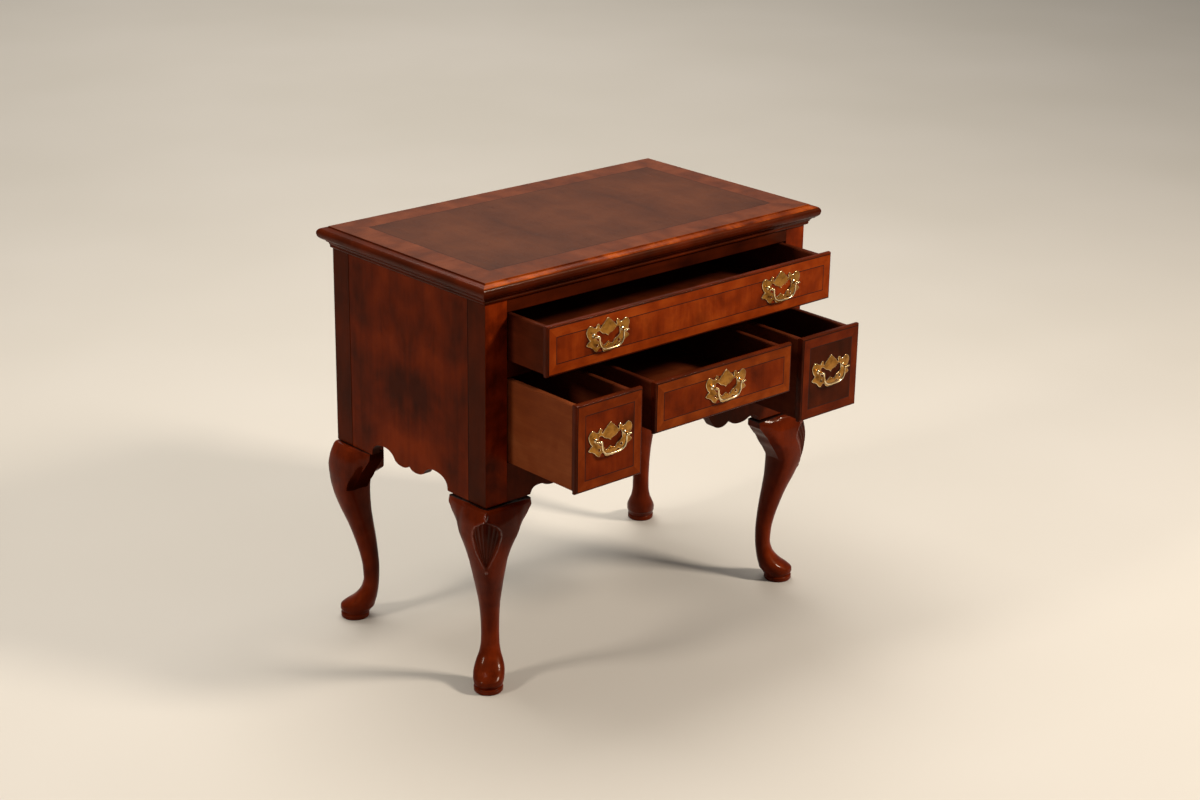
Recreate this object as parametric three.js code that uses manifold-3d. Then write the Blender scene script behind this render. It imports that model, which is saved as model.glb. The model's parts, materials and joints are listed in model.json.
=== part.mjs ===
// A lowboy: a small chest on cabriole legs, with one long drawer over two deep ones and a shallow one.
// Millimetres. +X is to the right as seen from the front, -Y is the front and +Z is up.
// The origin is on the floor, under the middle of the whole outline with the drawers drawn out.

import * as THREE from 'three';
import Module from 'manifold-3d';
import { mergeVertices } from 'three/addons/utils/BufferGeometryUtils.js';

const wasm = await Module();
wasm.setup();

// Overall sizes
const height = 711.2;
const caseHeight = 378.9;
const topThickness = 22;
const caseWidth = 715;
const caseDepth = 401.6;

// Gaps
const seatGap = 0.3; // round a piece that another one was cut for
const runningGap = 0.4; // under a drawer, over its runners
const drawerSideGap = 3;
const drawerHeadGap = 2;
const closedGap = 0.5; // behind the lip of a closed drawer
const backRoom = 16; // behind the box of a closed drawer
const overrun = 2; // how far a cutter runs past the wood that it cuts

// Top board and the moulding under it
const topSideOverhang = 20;
const topFrontOverhang = 20.8;
const topBackOverhang = 18.4;
const topEdgeWidth = 14.7;
const mouldingReach = 14.7;
const mouldingHeight = 15.5;

// Case
const postWidth = 44;
const postDepth = 43;
const panelThickness = 16;
const railThickness = 20;
const friezeHeight = 36.7;
const middleRailHeight = 28.8;
const dividerWidth = 35.7;
const webThickness = 18;
const backThickness = 6;
const backRabbet = 10;
const backRise = 12; // from the leg tops to the lower edge of the back
const sideScallopRise = 24.5;
const archRise = 62;
const lobeRise = 20;
const apronHeight = 67; // under the deep drawers

// Openings for the drawers: the rails and the apron leave a height that the two rows share
const sideOpeningWidth = 128.5;
const longOpeningShare = 0.358; // of the height left for the two rows
const centreOpeningShare = 0.58; // of the height of the deep drawers beside it

// Runners and kickers
const shelfThickness = 18;
const shelfReach = 17; // how far a shelf goes in under its drawer
const guideHeight = 22;
const frameBackWidth = 40; // of the back rail that ties the long drawer's runners
const kickerWidth = 60;

// Legs and knee blocks
const legStock = 80; // widest diagonal of a knee
const padInsetSide = 13.9; // from the case's side to the middle of the pad
const padInsetFront = 11.9;
const padInsetBack = 17.8;
const legSides = 16;
const blockLength = 93; // from the case corner to the end of a knee block
const blockDepth = 27;
const blockDrop = 82; // from the leg top to the block's lowest point
const blockProud = 12;
const blockEndGap = 4.5; // between the case and the free end of a block
const blockSeam = 0.8; // between the case and a block beside its leg
const dowelDiameter = 19;
const dowelLength = 42; // of a leg's dowel, up in its post

// Drawers
const lipThickness = 8.5;
const bodyThickness = 11; // the part of a front that enters the opening
const lipSideReach = 5.2;
const lipTopReach = 3;
const lipEdge = 3.5;
const boardThickness = 11;
const boardRounding = 3;
const bottomThickness = 5;
const bottomRise = 9;
const grooveDepth = 5;
const backDrop = 4; // from the top of a drawer side to the top of its back
const longDrawerOut = 93.9;
const leftDrawerOut = 163.2;
const centreDrawerOut = 164.8;
const rightDrawerOut = 165.5;

// Pulls
const pullInset = 119; // from the end of the long opening in to the middle of a pull
const pullRise = 8.3; // from the middle of a drawer front up to its posts
const plateWidth = 91.4;
const plateThickness = 1.6;
const postSpacing = 60;
const postStandoff = 10.5; // from the drawer front to the axis of the bail
const headRadius = 3;
const neckRadius = 1.9;
const collarRadius = 5;
const collarThickness = 2;
const shankRadius = 2.2;
const nutRadius = 4.6;
const nutThickness = 3.2;
const pinRadius = 1.2;
const pinBallRadius = 1.6;
const armRadius = 1.6;
const gripRadius = 2.1;
const bailDrop = 23.5;
const roundSides = 12;
const postSides = 8;
const bailSides = 6;

// Places worked out from the sizes
const legHeight = height - caseHeight;
const boardBottom = height - topThickness;
const sideX = caseWidth / 2;
const frontY = -caseDepth / 2;
const backY = caseDepth / 2;
const postX = sideX - postWidth; // inner face of the posts
const postFrontY = frontY + postDepth; // back face of the front posts
const postBackY = backY - postDepth;
const panelX = sideX - panelThickness;
const railBackY = frontY + railThickness;
const backFaceY = backY - backThickness; // front face of the back panel
const longTop = boardBottom - friezeHeight;
const deepFloor = legHeight + apronHeight;
const heightForRows = longTop - middleRailHeight - deepFloor;
const longFloor = longTop - longOpeningShare * heightForRows;
const rowTop = longFloor - middleRailHeight;
const centreFloor = rowTop - centreOpeningShare * (rowTop - deepFloor);
const centreX = postX - sideOpeningWidth - dividerWidth; // half the width of the centre opening
const dividerX = centreX + dividerWidth / 2;
const dividerOuterX = centreX + dividerWidth;
const boxLength = caseDepth - backThickness - backRoom; // from the case front to a drawer's back
const dividerFoot = deepFloor - shelfThickness;

// Materials
const finish = (color, roughness, metalness = 0) =>
  new THREE.MeshStandardMaterial({ color, roughness, metalness });
const burl = finish(0x6b2f18, 0.35);
const veneer = finish(0x7a3416, 0.35);
const walnut = finish(0x5c2412, 0.38);
const drawerWood = finish(0x8a5230, 0.6);
const innerWood = finish(0x6b4a32, 0.7);
const brass = finish(0xb98f3e, 0.3, 1);

const lowboy = new THREE.Group();
const body = new THREE.Group();
lowboy.add(body);

const addMesh = (name, geometry, material, group = body) => {
  const mesh = new THREE.Mesh(geometry, material);
  mesh.name = name;
  group.add(mesh);
  return mesh;
};

// A plain board between two places along each axis
const addBoard = (name, [x0, x1], [y0, y1], [z0, z1], material, group = body) => {
  const mesh = addMesh(name, new THREE.BoxGeometry(x1 - x0, y1 - y0, z1 - z0), material, group);
  mesh.position.set((x0 + x1) / 2, (y0 + y1) / 2, (z0 + z1) / 2);
  return mesh;
};

// A closed solid through rings of points; the end caps follow the flat contour given
const loft = (rings, contour) => {
  const count = rings[0].length;
  const positions = rings.flat(2);
  const faces = [];
  for (let r = 0; r + 1 < rings.length; r += 1) {
    for (let i = 0; i < count; i += 1) {
      const next = (i + 1) % count;
      const low = r * count;
      const high = low + count;
      faces.push([low + i, low + next, high + next], [low + i, high + next, high + i]);
    }
  }
  const last = (rings.length - 1) * count;
  const clockwise = THREE.ShapeUtils.isClockWise(contour);
  for (const [a, b, c] of THREE.ShapeUtils.triangulateShape(contour, [])) {
    const [second, third] = clockwise ? [c, b] : [b, c];
    faces.push([a, third, second], [last + a, last + second, last + third]);
  }
  const corner = (i) => new THREE.Vector3().fromArray(positions, 3 * i);
  let volume = 0;
  for (const [a, b, c] of faces) {
    volume += corner(a).dot(corner(b).cross(corner(c)));
  }
  const outward = volume > 0 ? faces : faces.map(([a, b, c]) => [a, c, b]);
  const geometry = new THREE.BufferGeometry();
  geometry.setAttribute('position', new THREE.Float32BufferAttribute(positions, 3));
  geometry.setIndex(outward.flat());
  return geometry;
};

const square = [[0, 0], [1, 0], [1, 1], [0, 1]].map(([x, y]) => new THREE.Vector2(x, y));

const mergeDistance = 1e-5; // closer corners are one corner

const toSolid = (geometry) => {
  const bare = geometry.clone();
  bare.deleteAttribute('normal');
  bare.deleteAttribute('uv');
  const merged = mergeVertices(bare, mergeDistance);
  return new wasm.Manifold(new wasm.Mesh({
    numProp: 3,
    vertProperties: merged.attributes.position.array,
    triVerts: new Uint32Array(merged.index.array),
  }));
};

const toGeometry = (solid) => {
  const { vertProperties, triVerts } = solid.getMesh();
  const geometry = new THREE.BufferGeometry();
  geometry.setAttribute('position', new THREE.BufferAttribute(vertProperties, 3));
  geometry.setIndex(new THREE.BufferAttribute(triVerts, 1));
  return geometry;
};

const cut = (geometry, cutters) => {
  let solid = toSolid(geometry);
  for (const cutter of cutters) {
    solid = solid.subtract(toSolid(cutter));
  }
  return toGeometry(solid);
};

const join = (geometries) => {
  let solid = toSolid(geometries[0]);
  for (const other of geometries.slice(1)) {
    solid = solid.add(toSolid(other));
  }
  return toGeometry(solid);
};

const boxAt = ([x0, x1], [y0, y1], [z0, z1]) =>
  new THREE.BoxGeometry(x1 - x0, y1 - y0, z1 - z0)
    .translate((x0 + x1) / 2, (y0 + y1) / 2, (z0 + z1) / 2);

// An outline in X and Y, raised along Z
const raise = (points, z0, z1) =>
  new THREE.ExtrudeGeometry(new THREE.Shape(points), { depth: z1 - z0, bevelEnabled: false })
    .translate(0, 0, z0);

// An outline in X and Z, drawn back along Y
const drawBack = (points, y0, y1, holes = []) => {
  const shape = new THREE.Shape(points);
  shape.holes = holes.map((hole) => new THREE.Path(hole));
  return new THREE.ExtrudeGeometry(shape, { depth: y1 - y0, bevelEnabled: false })
    .rotateX(Math.PI / 2)
    .translate(0, y1, 0);
};

// An outline in Y and Z, drawn across along X
const drawAcross = (points, x0, x1) =>
  new THREE.ExtrudeGeometry(new THREE.Shape(points), { depth: x1 - x0, bevelEnabled: false })
    .rotateX(Math.PI / 2)
    .rotateZ(Math.PI / 2)
    .translate(x0, 0, 0);

const toPoints = (rows) => rows.map(([x, y]) => new THREE.Vector2(x, y));

// Follows rows of two shares as corners and rows of four as curves, in units of the two sizes
const trace = (rowShares, width, rise, divisions) => {
  const path = new THREE.Path();
  const [first, ...others] = rowShares;
  path.moveTo(first[0] * width, first[1] * rise);
  for (const row of others) {
    const scaled = row.map((share, i) => share * (i % 2 ? rise : width));
    if (row.length === 2) {
      path.lineTo(...scaled);
    } else {
      path.quadraticCurveTo(...scaled);
    }
  }
  return path.getPoints(divisions);
};

const mirrored = (points) => points.map((point) => new THREE.Vector2(-point.x, point.y)).reverse();

// Top board: the moulded edge as shares of its width, inwards, and of the board's thickness, upwards
const topEdgeShares = [
  [0.36, 0], [0.13, 0.14], [0.03, 0.3], [0, 0.46], [0.05, 0.6], [0.17, 0.72],
  [0.36, 0.81], [0.62, 0.86], [0.96, 0.89], [1, 1],
];

const makeTop = () => {
  const rings = topEdgeShares.map(([insetShare, riseShare]) => {
    const inset = insetShare * topEdgeWidth;
    const x = sideX + topSideOverhang - inset;
    const y0 = frontY - topFrontOverhang + inset;
    const y1 = backY + topBackOverhang - inset;
    const z = boardBottom + riseShare * topThickness;
    return [[-x, y0, z], [x, y0, z], [x, y1, z], [-x, y1, z]];
  });
  addMesh('top_board', loft(rings, square), burl);
};

// Moulding under the top: shares of its reach, outwards, and of its height, downwards
const mouldingShares = [
  [0, 0], [0.93, 0], [0.93, 0.12], [0.74, 0.18], [0.57, 0.31], [0.47, 0.46], [0.44, 0.56],
  [0.34, 0.61], [0.38, 0.72], [0.33, 0.86], [0.19, 0.95], [0, 1],
];

const makeMoulding = () => {
  const contour = toPoints(mouldingShares);
  const profile = mouldingShares.map(([out, down]) => [
    out * mouldingReach,
    boardBottom - down * mouldingHeight,
  ]);
  const frontEnd = (side) =>
    profile.map(([out, z]) => [side * (sideX + out - seatGap), frontY - out, z]);
  addMesh('bed_moulding_front', loft([frontEnd(-1), frontEnd(1)], contour), walnut);
  for (const [name, side] of [['left', -1], ['right', 1]]) {
    const mitre = profile.map(([out, z]) => [side * (sideX + out), frontY - out + seatGap, z]);
    const squareEnd = profile.map(([out, z]) => [side * (sideX + out), backY, z]);
    addMesh(`bed_moulding_${name}`, loft([mitre, squareEnd], contour), walnut);
  }
};

// Each leg ends in a dowel that is glued into its post
const dowelX = sideX - postWidth / 2;
const dowelY = backY - postDepth / 2;

const rod = (radius, x, y, z0, z1) =>
  new THREE.CylinderGeometry(radius, radius, z1 - z0, roundSides)
    .rotateX(Math.PI / 2)
    .translate(x, y, (z0 + z1) / 2);

const makePosts = () => {
  const bore = (x, y) =>
    rod(dowelDiameter / 2 + seatGap, x, y, legHeight - overrun, legHeight + dowelLength + seatGap);
  for (const [name, side] of [['left', -1], ['right', 1]]) {
    const across = [side * postX, side * sideX].sort((a, b) => a - b);
    const front = boxAt(across, [frontY, postFrontY], [legHeight, boardBottom]);
    addMesh(`front_post_${name}`, cut(front, [bore(side * dowelX, -dowelY)]), walnut);
    const outline = toPoints([
      [side * postX, postBackY], [side * sideX, postBackY], [side * sideX, backY],
      [side * (postX + backRabbet), backY], [side * (postX + backRabbet), backFaceY],
      [side * postX, backFaceY],
    ]);
    const rear = raise(side > 0 ? outline : outline.reverse(), legHeight, boardBottom);
    addMesh(`rear_post_${name}`, cut(rear, [bore(side * dowelX, dowelY)]), walnut);
  }
};

// Lower edge of a side panel, from the middle cusp to the knee block: a lobe and an arch
const sideScallopShares = [
  [0, 0.49], [0.04, 0.17, 0.17, 0.17], [0.3, 0.17, 0.36, 0.4], [0.44, 0.98, 0.62, 1],
  [0.88, 1, 0.94, 0.36], [0.95, 0],
];

// Lower edge of the front apron, from the middle out: the arch, in shares of half the centre opening
const archShares = [[0, 1], [0.53, 1], [0.81, 1, 0.92, 0.62], [0.97, 0.42, 1, 0.32]];

// Then, from there to the knee block: two lobes with a cusp between them, and a small arch
const lobeShares = [
  [0, 0.99], [0.05, 0.47, 0.18, 0.47], [0.28, 0.47, 0.35, 0.93], [0.4, 0.34, 0.58, 0.34],
  [0.7, 0.34, 0.77, 0.62], [0.91, 0.74, 0.965, 0.4], [1, 0],
];
const scallopDivisions = 4;

const makePanels = () => {
  const halfSpan = caseDepth / 2 - blockLength;
  const half = trace(sideScallopShares, halfSpan, sideScallopRise, scallopDivisions);
  const lower = [...mirrored(half), ...half.slice(1)]
    .map((point) => new THREE.Vector2(point.x, point.y + legHeight));
  const outline = [
    new THREE.Vector2(postFrontY, legHeight), ...lower, new THREE.Vector2(postBackY, legHeight),
    new THREE.Vector2(postBackY, boardBottom), new THREE.Vector2(postFrontY, boardBottom),
  ];
  addMesh('side_panel_left', drawAcross(outline, -sideX, -panelX), veneer);
  addMesh('side_panel_right', drawAcross(outline, panelX, sideX), veneer);
};

const makeApron = () => {
  const arch = trace(archShares, centreX, archRise, scallopDivisions);
  const lobes = trace(lobeShares, sideX - blockLength - centreX, lobeRise, scallopDivisions)
    .map((point) => new THREE.Vector2(point.x + centreX, point.y));
  const half = [...arch.slice(0, -1), ...lobes]
    .map((point) => new THREE.Vector2(point.x, point.y + legHeight));
  const upperHalf = toPoints([
    [postX, legHeight], [postX, deepFloor], [dividerOuterX, deepFloor], [dividerOuterX, dividerFoot],
    [centreX, dividerFoot], [centreX, centreFloor],
  ]);
  const rightSide = [...half.slice(1), ...upperHalf];
  const outline = [half[0], ...rightSide, ...mirrored(rightSide)];
  addMesh('front_apron', drawBack(outline, frontY, railBackY), veneer);
};

const makeRails = () => {
  const between = [-postX, postX];
  addBoard('top_rail', between, [frontY, railBackY], [longTop, boardBottom], veneer);
  addBoard('middle_rail', between, [frontY, postFrontY], [rowTop, longFloor], veneer);
  const backX = postX + backRabbet;
  const backLow = legHeight + backRise;
  addBoard('back_panel', [-backX, backX], [backFaceY, backY], [backLow, boardBottom], innerWood);
  const kickerX = kickerWidth / 2;
  addBoard('drawer_kicker', [-kickerX, kickerX], [railBackY, backFaceY], [longTop, boardBottom], innerWood);
};

// A runner is a shelf under a drawer's side and a guide beside it, from a wall inwards
const runner = (wallX, guideX, shelfX, y0, y1, floor) => {
  const outline = toPoints([
    [wallX, floor - shelfThickness], [shelfX, floor - shelfThickness], [shelfX, floor],
    [guideX, floor], [guideX, floor + guideHeight], [wallX, floor + guideHeight],
  ]);
  return drawBack(shelfX > wallX ? outline : outline.reverse(), y0, y1);
};

const makeRunners = () => {
  const outerRunner = (side, floor) => runner(side * panelX, side * postX,
    side * (postX - shelfReach), postFrontY, postBackY, floor);
  const frameBack = boxAt([-postX, postX], [postBackY - frameBackWidth, postBackY],
    [longFloor - shelfThickness, longFloor]);
  const frame = [outerRunner(-1, longFloor), outerRunner(1, longFloor), frameBack];
  addMesh('long_drawer_runners', join(frame), innerWood);
  for (const [name, side] of [['left', -1], ['right', 1]]) {
    addMesh(`${name}_drawer_runner`, outerRunner(side, deepFloor), innerWood);
  }
};

// A divider is a strip in the front and a web behind it, with a runner on each side of the web
const makeDividers = () => {
  const web = webThickness / 2;
  const strip = dividerWidth / 2;
  for (const [name, side] of [['left', -1], ['right', 1]]) {
    const outline = toPoints([
      [-strip, frontY], [strip, frontY], [strip, railBackY], [web, railBackY],
      [web, backFaceY], [-web, backFaceY], [-web, railBackY], [-strip, railBackY],
    ]);
    const wall = raise(outline, dividerFoot, rowTop);
    const outer = runner(0, side * strip, side * (strip + shelfReach), railBackY, backFaceY, deepFloor);
    const inner = runner(0, -side * strip, -side * (strip + shelfReach), railBackY, backFaceY, centreFloor);
    const divider = addMesh(`divider_${name}`, join([wall, outer, inner]), walnut);
    divider.position.x = side * dividerX;
  }
};

// Leg levels: shares of the leg's height, then shares of the stock for the front, the back and half
// the width of the section, and last how round its outer and inner halves are, from 1 for a diamond
// to 2 for a circle. The inner half stays square down to where the curve of the leg is sawn.
const legShares = [
  [1, 0.25, -0.7, 0.455, 1.2, 1.04], [0.997, 0.3, -0.71, 0.49, 1.2, 1.04],
  [0.963, 0.395, -0.71, 0.55, 1.21, 1.04], [0.905, 0.47, -0.71, 0.585, 1.23, 1.04],
  [0.861, 0.494, -0.705, 0.585, 1.26, 1.06], [0.843, 0.492, -0.622, 0.565, 1.28, 1.1],
  [0.817, 0.48, -0.47, 0.51, 1.33, 1.2], [0.778, 0.462, -0.41, 0.455, 1.4, 1.34],
  [0.722, 0.41, -0.4, 0.402, 1.48, 1.46], [0.626, 0.265, -0.415, 0.33, 1.6, 1.6],
  [0.542, 0.106, -0.456, 0.275, 1.75, 1.75], [0.452, -0.031, -0.506, 0.222, 1.9, 1.9],
  [0.361, -0.144, -0.544, 0.197, 2, 2], [0.286, -0.2, -0.562, 0.19, 2, 2],
  [0.226, -0.212, -0.555, 0.194, 2, 2], [0.175, -0.16, -0.537, 0.225, 2, 2],
  [0.136, -0.05, -0.512, 0.28, 2, 2], [0.108, 0.075, -0.487, 0.314, 2, 2],
  [0.085, 0.22, -0.458, 0.327, 2, 2], [0.066, 0.305, -0.437, 0.325, 2, 2],
  [0.051, 0.31, -0.38, 0.315, 2, 2], [0.033, 0.27, -0.33, 0.29, 2, 2],
  [0.028, 0.265, -0.31, 0.285, 2, 2], [0.024, 0.3, -0.32, 0.305, 2, 2],
  [0.008, 0.3, -0.32, 0.305, 2, 2], [0, 0.28, -0.3, 0.285, 2, 2],
];

const legSection = ([heightShare, outShare, inShare, widthShare, outerRound, innerRound], grow) => {
  const out = outShare * legStock + grow;
  const inwards = inShare * legStock - grow;
  const half = widthShare * legStock + grow;
  return Array.from({ length: legSides }, (_, i) => {
    const angle = (2 * Math.PI * i) / legSides;
    const power = 2 / (Math.cos(angle) > 0 ? outerRound : innerRound);
    const along = Math.sign(Math.cos(angle)) * Math.abs(Math.cos(angle)) ** power;
    const across = Math.sign(Math.sin(angle)) * Math.abs(Math.sin(angle)) ** power;
    return [(out + inwards) / 2 + (along * (out - inwards)) / 2, across * half, heightShare * legHeight];
  });
};

const legContour = Array.from({ length: legSides }, (_, i) => {
  const angle = (2 * Math.PI * i) / legSides;
  return new THREE.Vector2(Math.cos(angle), Math.sin(angle));
});

const legBody = (grow) => loft(legShares.map((row) => legSection(row, grow)), legContour);

const corners = [
  { name: 'front_left', sideX: -1, sideY: -1, inset: padInsetFront },
  { name: 'front_right', sideX: 1, sideY: -1, inset: padInsetFront },
  { name: 'rear_left', sideX: -1, sideY: 1, inset: padInsetBack },
  { name: 'rear_right', sideX: 1, sideY: 1, inset: padInsetBack },
];

const padPlace = (corner) => [
  corner.sideX * (sideX - padInsetSide),
  corner.sideY * (backY - corner.inset),
];

// Knee block levels along its length, from the leg to the free end: shares of the length, of the drop
// at the lower edge and of how far the face stands proud
const blockShares = [
  [0.3, 0.98, 1], [0.5, 0.95, 1], [0.59, 0.8, 0.9], [0.7, 0.655, 0.72], [0.79, 0.47, 0.52],
  [0.88, 0.34, 0.34], [0.95, 0.22, 0.2], [1, 0.15, 0.12],
];

// Section of a block: shares of how proud the face is there, and of the block's height there
const blockFaceShares = [[0.15, 1], [0.9, 0.72], [1, 0.42], [0.72, 0.12], [0, 0]];

const blockContour = toPoints([[-1, 1], ...blockFaceShares, [-1, 0]]);

const makeBlock = (corner, alongX) => {
  const rings = blockShares.map(([lengthShare, dropShare, proudShare]) => {
    const along = lengthShare * blockLength;
    const top = legHeight - blockSeam - (blockEndGap - blockSeam) * Math.max(0, 2 * lengthShare - 1);
    const low = legHeight - dropShare * blockDrop;
    const proud = proudShare * blockProud;
    const section = [
      [-blockDepth, top],
      ...blockFaceShares.map(([out, up]) => [out * proud, low + up * (top - low)]),
      [-blockDepth, low],
    ];
    return section.map(([out, z]) => (alongX
      ? [corner.sideX * (sideX - along), corner.sideY * (backY + out), z]
      : [corner.sideX * (sideX + out), corner.sideY * (backY - along), z]));
  });
  return loft(rings, blockContour);
};

const makeLegs = () => {
  for (const corner of corners) {
    const [x, y] = padPlace(corner);
    const turn = Math.atan2(corner.sideY, corner.sideX);
    const place = new THREE.Matrix4().makeRotationZ(turn).setPosition(x, y, 0);
    const dowelFoot = legHeight - dowelDiameter;
    const dowel = rod(dowelDiameter / 2, corner.sideX * dowelX, corner.sideY * dowelY,
      dowelFoot, legHeight + dowelLength).applyMatrix4(place.clone().invert());
    const leg = addMesh(`leg_${corner.name}`, join([legBody(0), dowel]), walnut);
    leg.position.set(x, y, 0);
    leg.rotation.z = turn;
    const cutter = legBody(seatGap).applyMatrix4(place);
    addMesh(`knee_block_${corner.name}_side`, cut(makeBlock(corner, false), [cutter]), walnut);
    if (corner.sideY < 0) {
      addMesh(`knee_block_${corner.name}_front`, cut(makeBlock(corner, true), [cutter]), walnut);
    }
  }
};

// Plate of a pull, its right half from the peak down to the foot, in shares of half its width
const plateShares = [
  [0, 0.73], [0.18, 0.58], [0.2, 0.54], [0.26, 0.52], [0.29, 0.47], [0.37, 0.38],
  [0.38, 0.51], [0.43, 0.57, 0.5, 0.52], [0.6, 0.46], [0.68, 0.47, 0.73, 0.53],
  [0.84, 0.6, 0.94, 0.49], [1.02, 0.38, 0.98, 0.27], [0.94, 0.12, 0.83, 0.03], [0.92, -0.02],
  [1, -0.12], [0.93, -0.2, 0.84, -0.21], [0.72, -0.28], [0.65, -0.36],
  [0.56, -0.46, 0.48, -0.44], [0.42, -0.34, 0.36, -0.33], [0.28, -0.36, 0.24, -0.45],
  [0.12, -0.54, 0, -0.49],
];

// The opening that shows the drawer front behind the bail, its right half from the top down
const piercingShares = [
  [0, 0.05], [0.06, 0.13, 0.16, 0.15], [0.26, 0.16, 0.36, 0.27], [0.42, 0.31, 0.5, 0.29], [0.54, 0.16],
  [0.54, 0.04], [0.48, -0.04, 0.38, -0.08], [0.3, -0.1, 0.27, -0.15], [0.22, -0.26, 0.17, -0.24],
  [0.08, -0.19, 0, -0.13],
];
const eyeletShares = [0.5, -0.2, 0.045]; // across, down and radius of the small round hole
const plateDivisions = 2;

const circle = (x, y, radius, sides) =>
  Array.from({ length: sides }, (_, i) => {
    const angle = (2 * Math.PI * i) / sides;
    return new THREE.Vector2(x + radius * Math.cos(angle), y + radius * Math.sin(angle));
  });

const makePlate = () => {
  const half = plateWidth / 2;
  const ring = (rowShares) => {
    const right = trace(rowShares, half, half, plateDivisions);
    return [...right, ...mirrored(right.slice(1, -1))].reverse();
  };
  const [eyeX, eyeZ, eyeRadius] = eyeletShares.map((share) => share * half);
  const holes = [ring(piercingShares)];
  for (const side of [-1, 1]) {
    holes.push(circle(side * eyeX, eyeZ, eyeRadius, bailSides));
  }
  return drawBack(ring(plateShares), -plateThickness, 0, holes);
};

// One post with its nut: turned about Y, from the head in front to the nut inside the drawer
const makePost = () => {
  const inside = lipThickness + bodyThickness;
  const head = postStandoff;
  const cornerRadius = headRadius * Math.SQRT1_2;
  const profile = [
    [0, head + headRadius], [cornerRadius, head + cornerRadius], [headRadius, head],
    [cornerRadius, head - cornerRadius], [neckRadius, head - headRadius],
    [neckRadius, plateThickness + collarThickness], [collarRadius, plateThickness],
    [collarRadius, plateThickness / 2], [shankRadius, plateThickness / 2], [shankRadius, -inside],
    [nutRadius, -inside], [nutRadius, -inside - nutThickness], [0, -inside - nutThickness],
  ];
  const turned = new THREE.LatheGeometry(toPoints(profile.reverse()), postSides).rotateX(Math.PI);
  const hole = new THREE.CylinderGeometry(pinRadius + seatGap, pinRadius + seatGap,
    2 * headRadius + 2 * overrun, postSides).rotateZ(Math.PI / 2).translate(0, -head, 0);
  return cut(turned, [hole]);
};

// The bail: a ball, a pin through the post, a shoulder, a bent arm and half of the grip
const innerArm = headRadius + seatGap + armRadius; // from a post's axis in to the arm's middle
const pinOut = headRadius + seatGap; // from a post's axis out to the ball
const ballShares = [[1.9, 0.45], [1, 1], [0.2, 0.6]]; // of the ball's radius: outwards, then the radius
const shoulderShares = [[0.5, -0.2], [0, -1]]; // of the arm's radius: outwards and upwards
const bendShares = [[0.01, 0.3], [0.05, 0.56], [0.17, 0.79], [0.4, 0.94], [0.72, 0.995]]; // in and down

const makeBail = () => {
  const postAt = postSpacing / 2;
  const armAt = postAt - innerArm;
  const stations = [
    ...ballShares.map(([outShare, radiusShare]) => [
      postAt + pinOut + outShare * pinBallRadius, 0, radiusShare * pinBallRadius,
    ]),
    [postAt + pinOut, 0, pinRadius],
    [armAt + armRadius, 0, pinRadius],
    ...shoulderShares.map(([outShare, upShare]) => [
      armAt + outShare * armRadius, upShare * armRadius, armRadius,
    ]),
    ...bendShares.map(([inShare, downShare]) => [
      armAt * (1 - inShare), -downShare * bailDrop, armRadius + downShare * (gripRadius - armRadius),
    ]),
    [0, -bailDrop, gripRadius],
  ];
  const right = stations.slice(0, -1);
  const whole = [...stations, ...right.reverse().map(([x, z, radius]) => [-x, z, radius])];
  const middle = (i) => new THREE.Vector2(whole[i][0], whole[i][1]);
  const rings = whole.map(([x, z, radius], i) => {
    const before = middle(Math.max(0, i - 1));
    const after = middle(Math.min(whole.length - 1, i + 1));
    const heading = after.sub(before).normalize();
    return Array.from({ length: bailSides }, (_, k) => {
      const angle = (2 * Math.PI * (k + 0.5)) / bailSides;
      const sideways = radius * Math.cos(angle);
      return [x - heading.y * sideways, radius * Math.sin(angle), z + heading.x * sideways];
    });
  });
  return loft(rings, circle(0, 0, 1, bailSides));
};

// A drawer front: a body that enters the opening and a lip with a thumbnail edge that overlaps it.
// The rows are shares of the lip edge's width, inwards, and of the lip's thickness, forwards.
const lipShares = [[0, 0], [0, 0.45], [0.12, 0.68], [0.4, 0.86], [0.84, 0.92], [1, 0.92], [1.06, 1]];

const makeFront = (box, lip, pulls) => {
  const rect = ([x0, x1, z0, z1], inset, y) => [
    [x0 + inset, y, z0 + inset], [x1 - inset, y, z0 + inset],
    [x1 - inset, y, z1 - inset], [x0 + inset, y, z1 - inset],
  ];
  const rings = [
    rect(box, 0, bodyThickness),
    rect(box, 0, 0),
    ...lipShares.map(([insetShare, outShare]) =>
      rect(lip, insetShare * lipEdge, -outShare * lipThickness)),
  ];
  const bores = pulls.flatMap(([x, z]) => [-1, 1].map((side) => {
    const length = lipThickness + bodyThickness + 2 * overrun;
    return new THREE.CylinderGeometry(shankRadius + seatGap, shankRadius + seatGap, length, postSides)
      .translate(x + (side * postSpacing) / 2, 0, z + pullRise);
  }));
  return cut(loft(rings, square), bores);
};

// A drawer side: rounded along the top, with a groove for the bottom on its inner face
const sideBoard = (inner, outer, z0, z1) => {
  const step = Math.sign(inner - outer);
  const grooveLow = z0 + bottomRise - seatGap;
  const grooveHigh = z0 + bottomRise + bottomThickness + seatGap;
  const grooveX = inner - step * grooveDepth;
  const outline = toPoints([
    [outer, z0], [inner, z0], [inner, grooveLow], [grooveX, grooveLow], [grooveX, grooveHigh],
    [inner, grooveHigh], [inner, z1 - boardRounding],
    [inner - (step * boardRounding) / 3, z1 - boardRounding / 3],
    [inner - step * boardRounding, z1], [outer + step * boardRounding, z1],
    [outer + (step * boardRounding) / 3, z1 - boardRounding / 3], [outer, z1 - boardRounding],
  ]);
  return drawBack(step > 0 ? outline : outline.reverse(), bodyThickness, boxLength);
};

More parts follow.
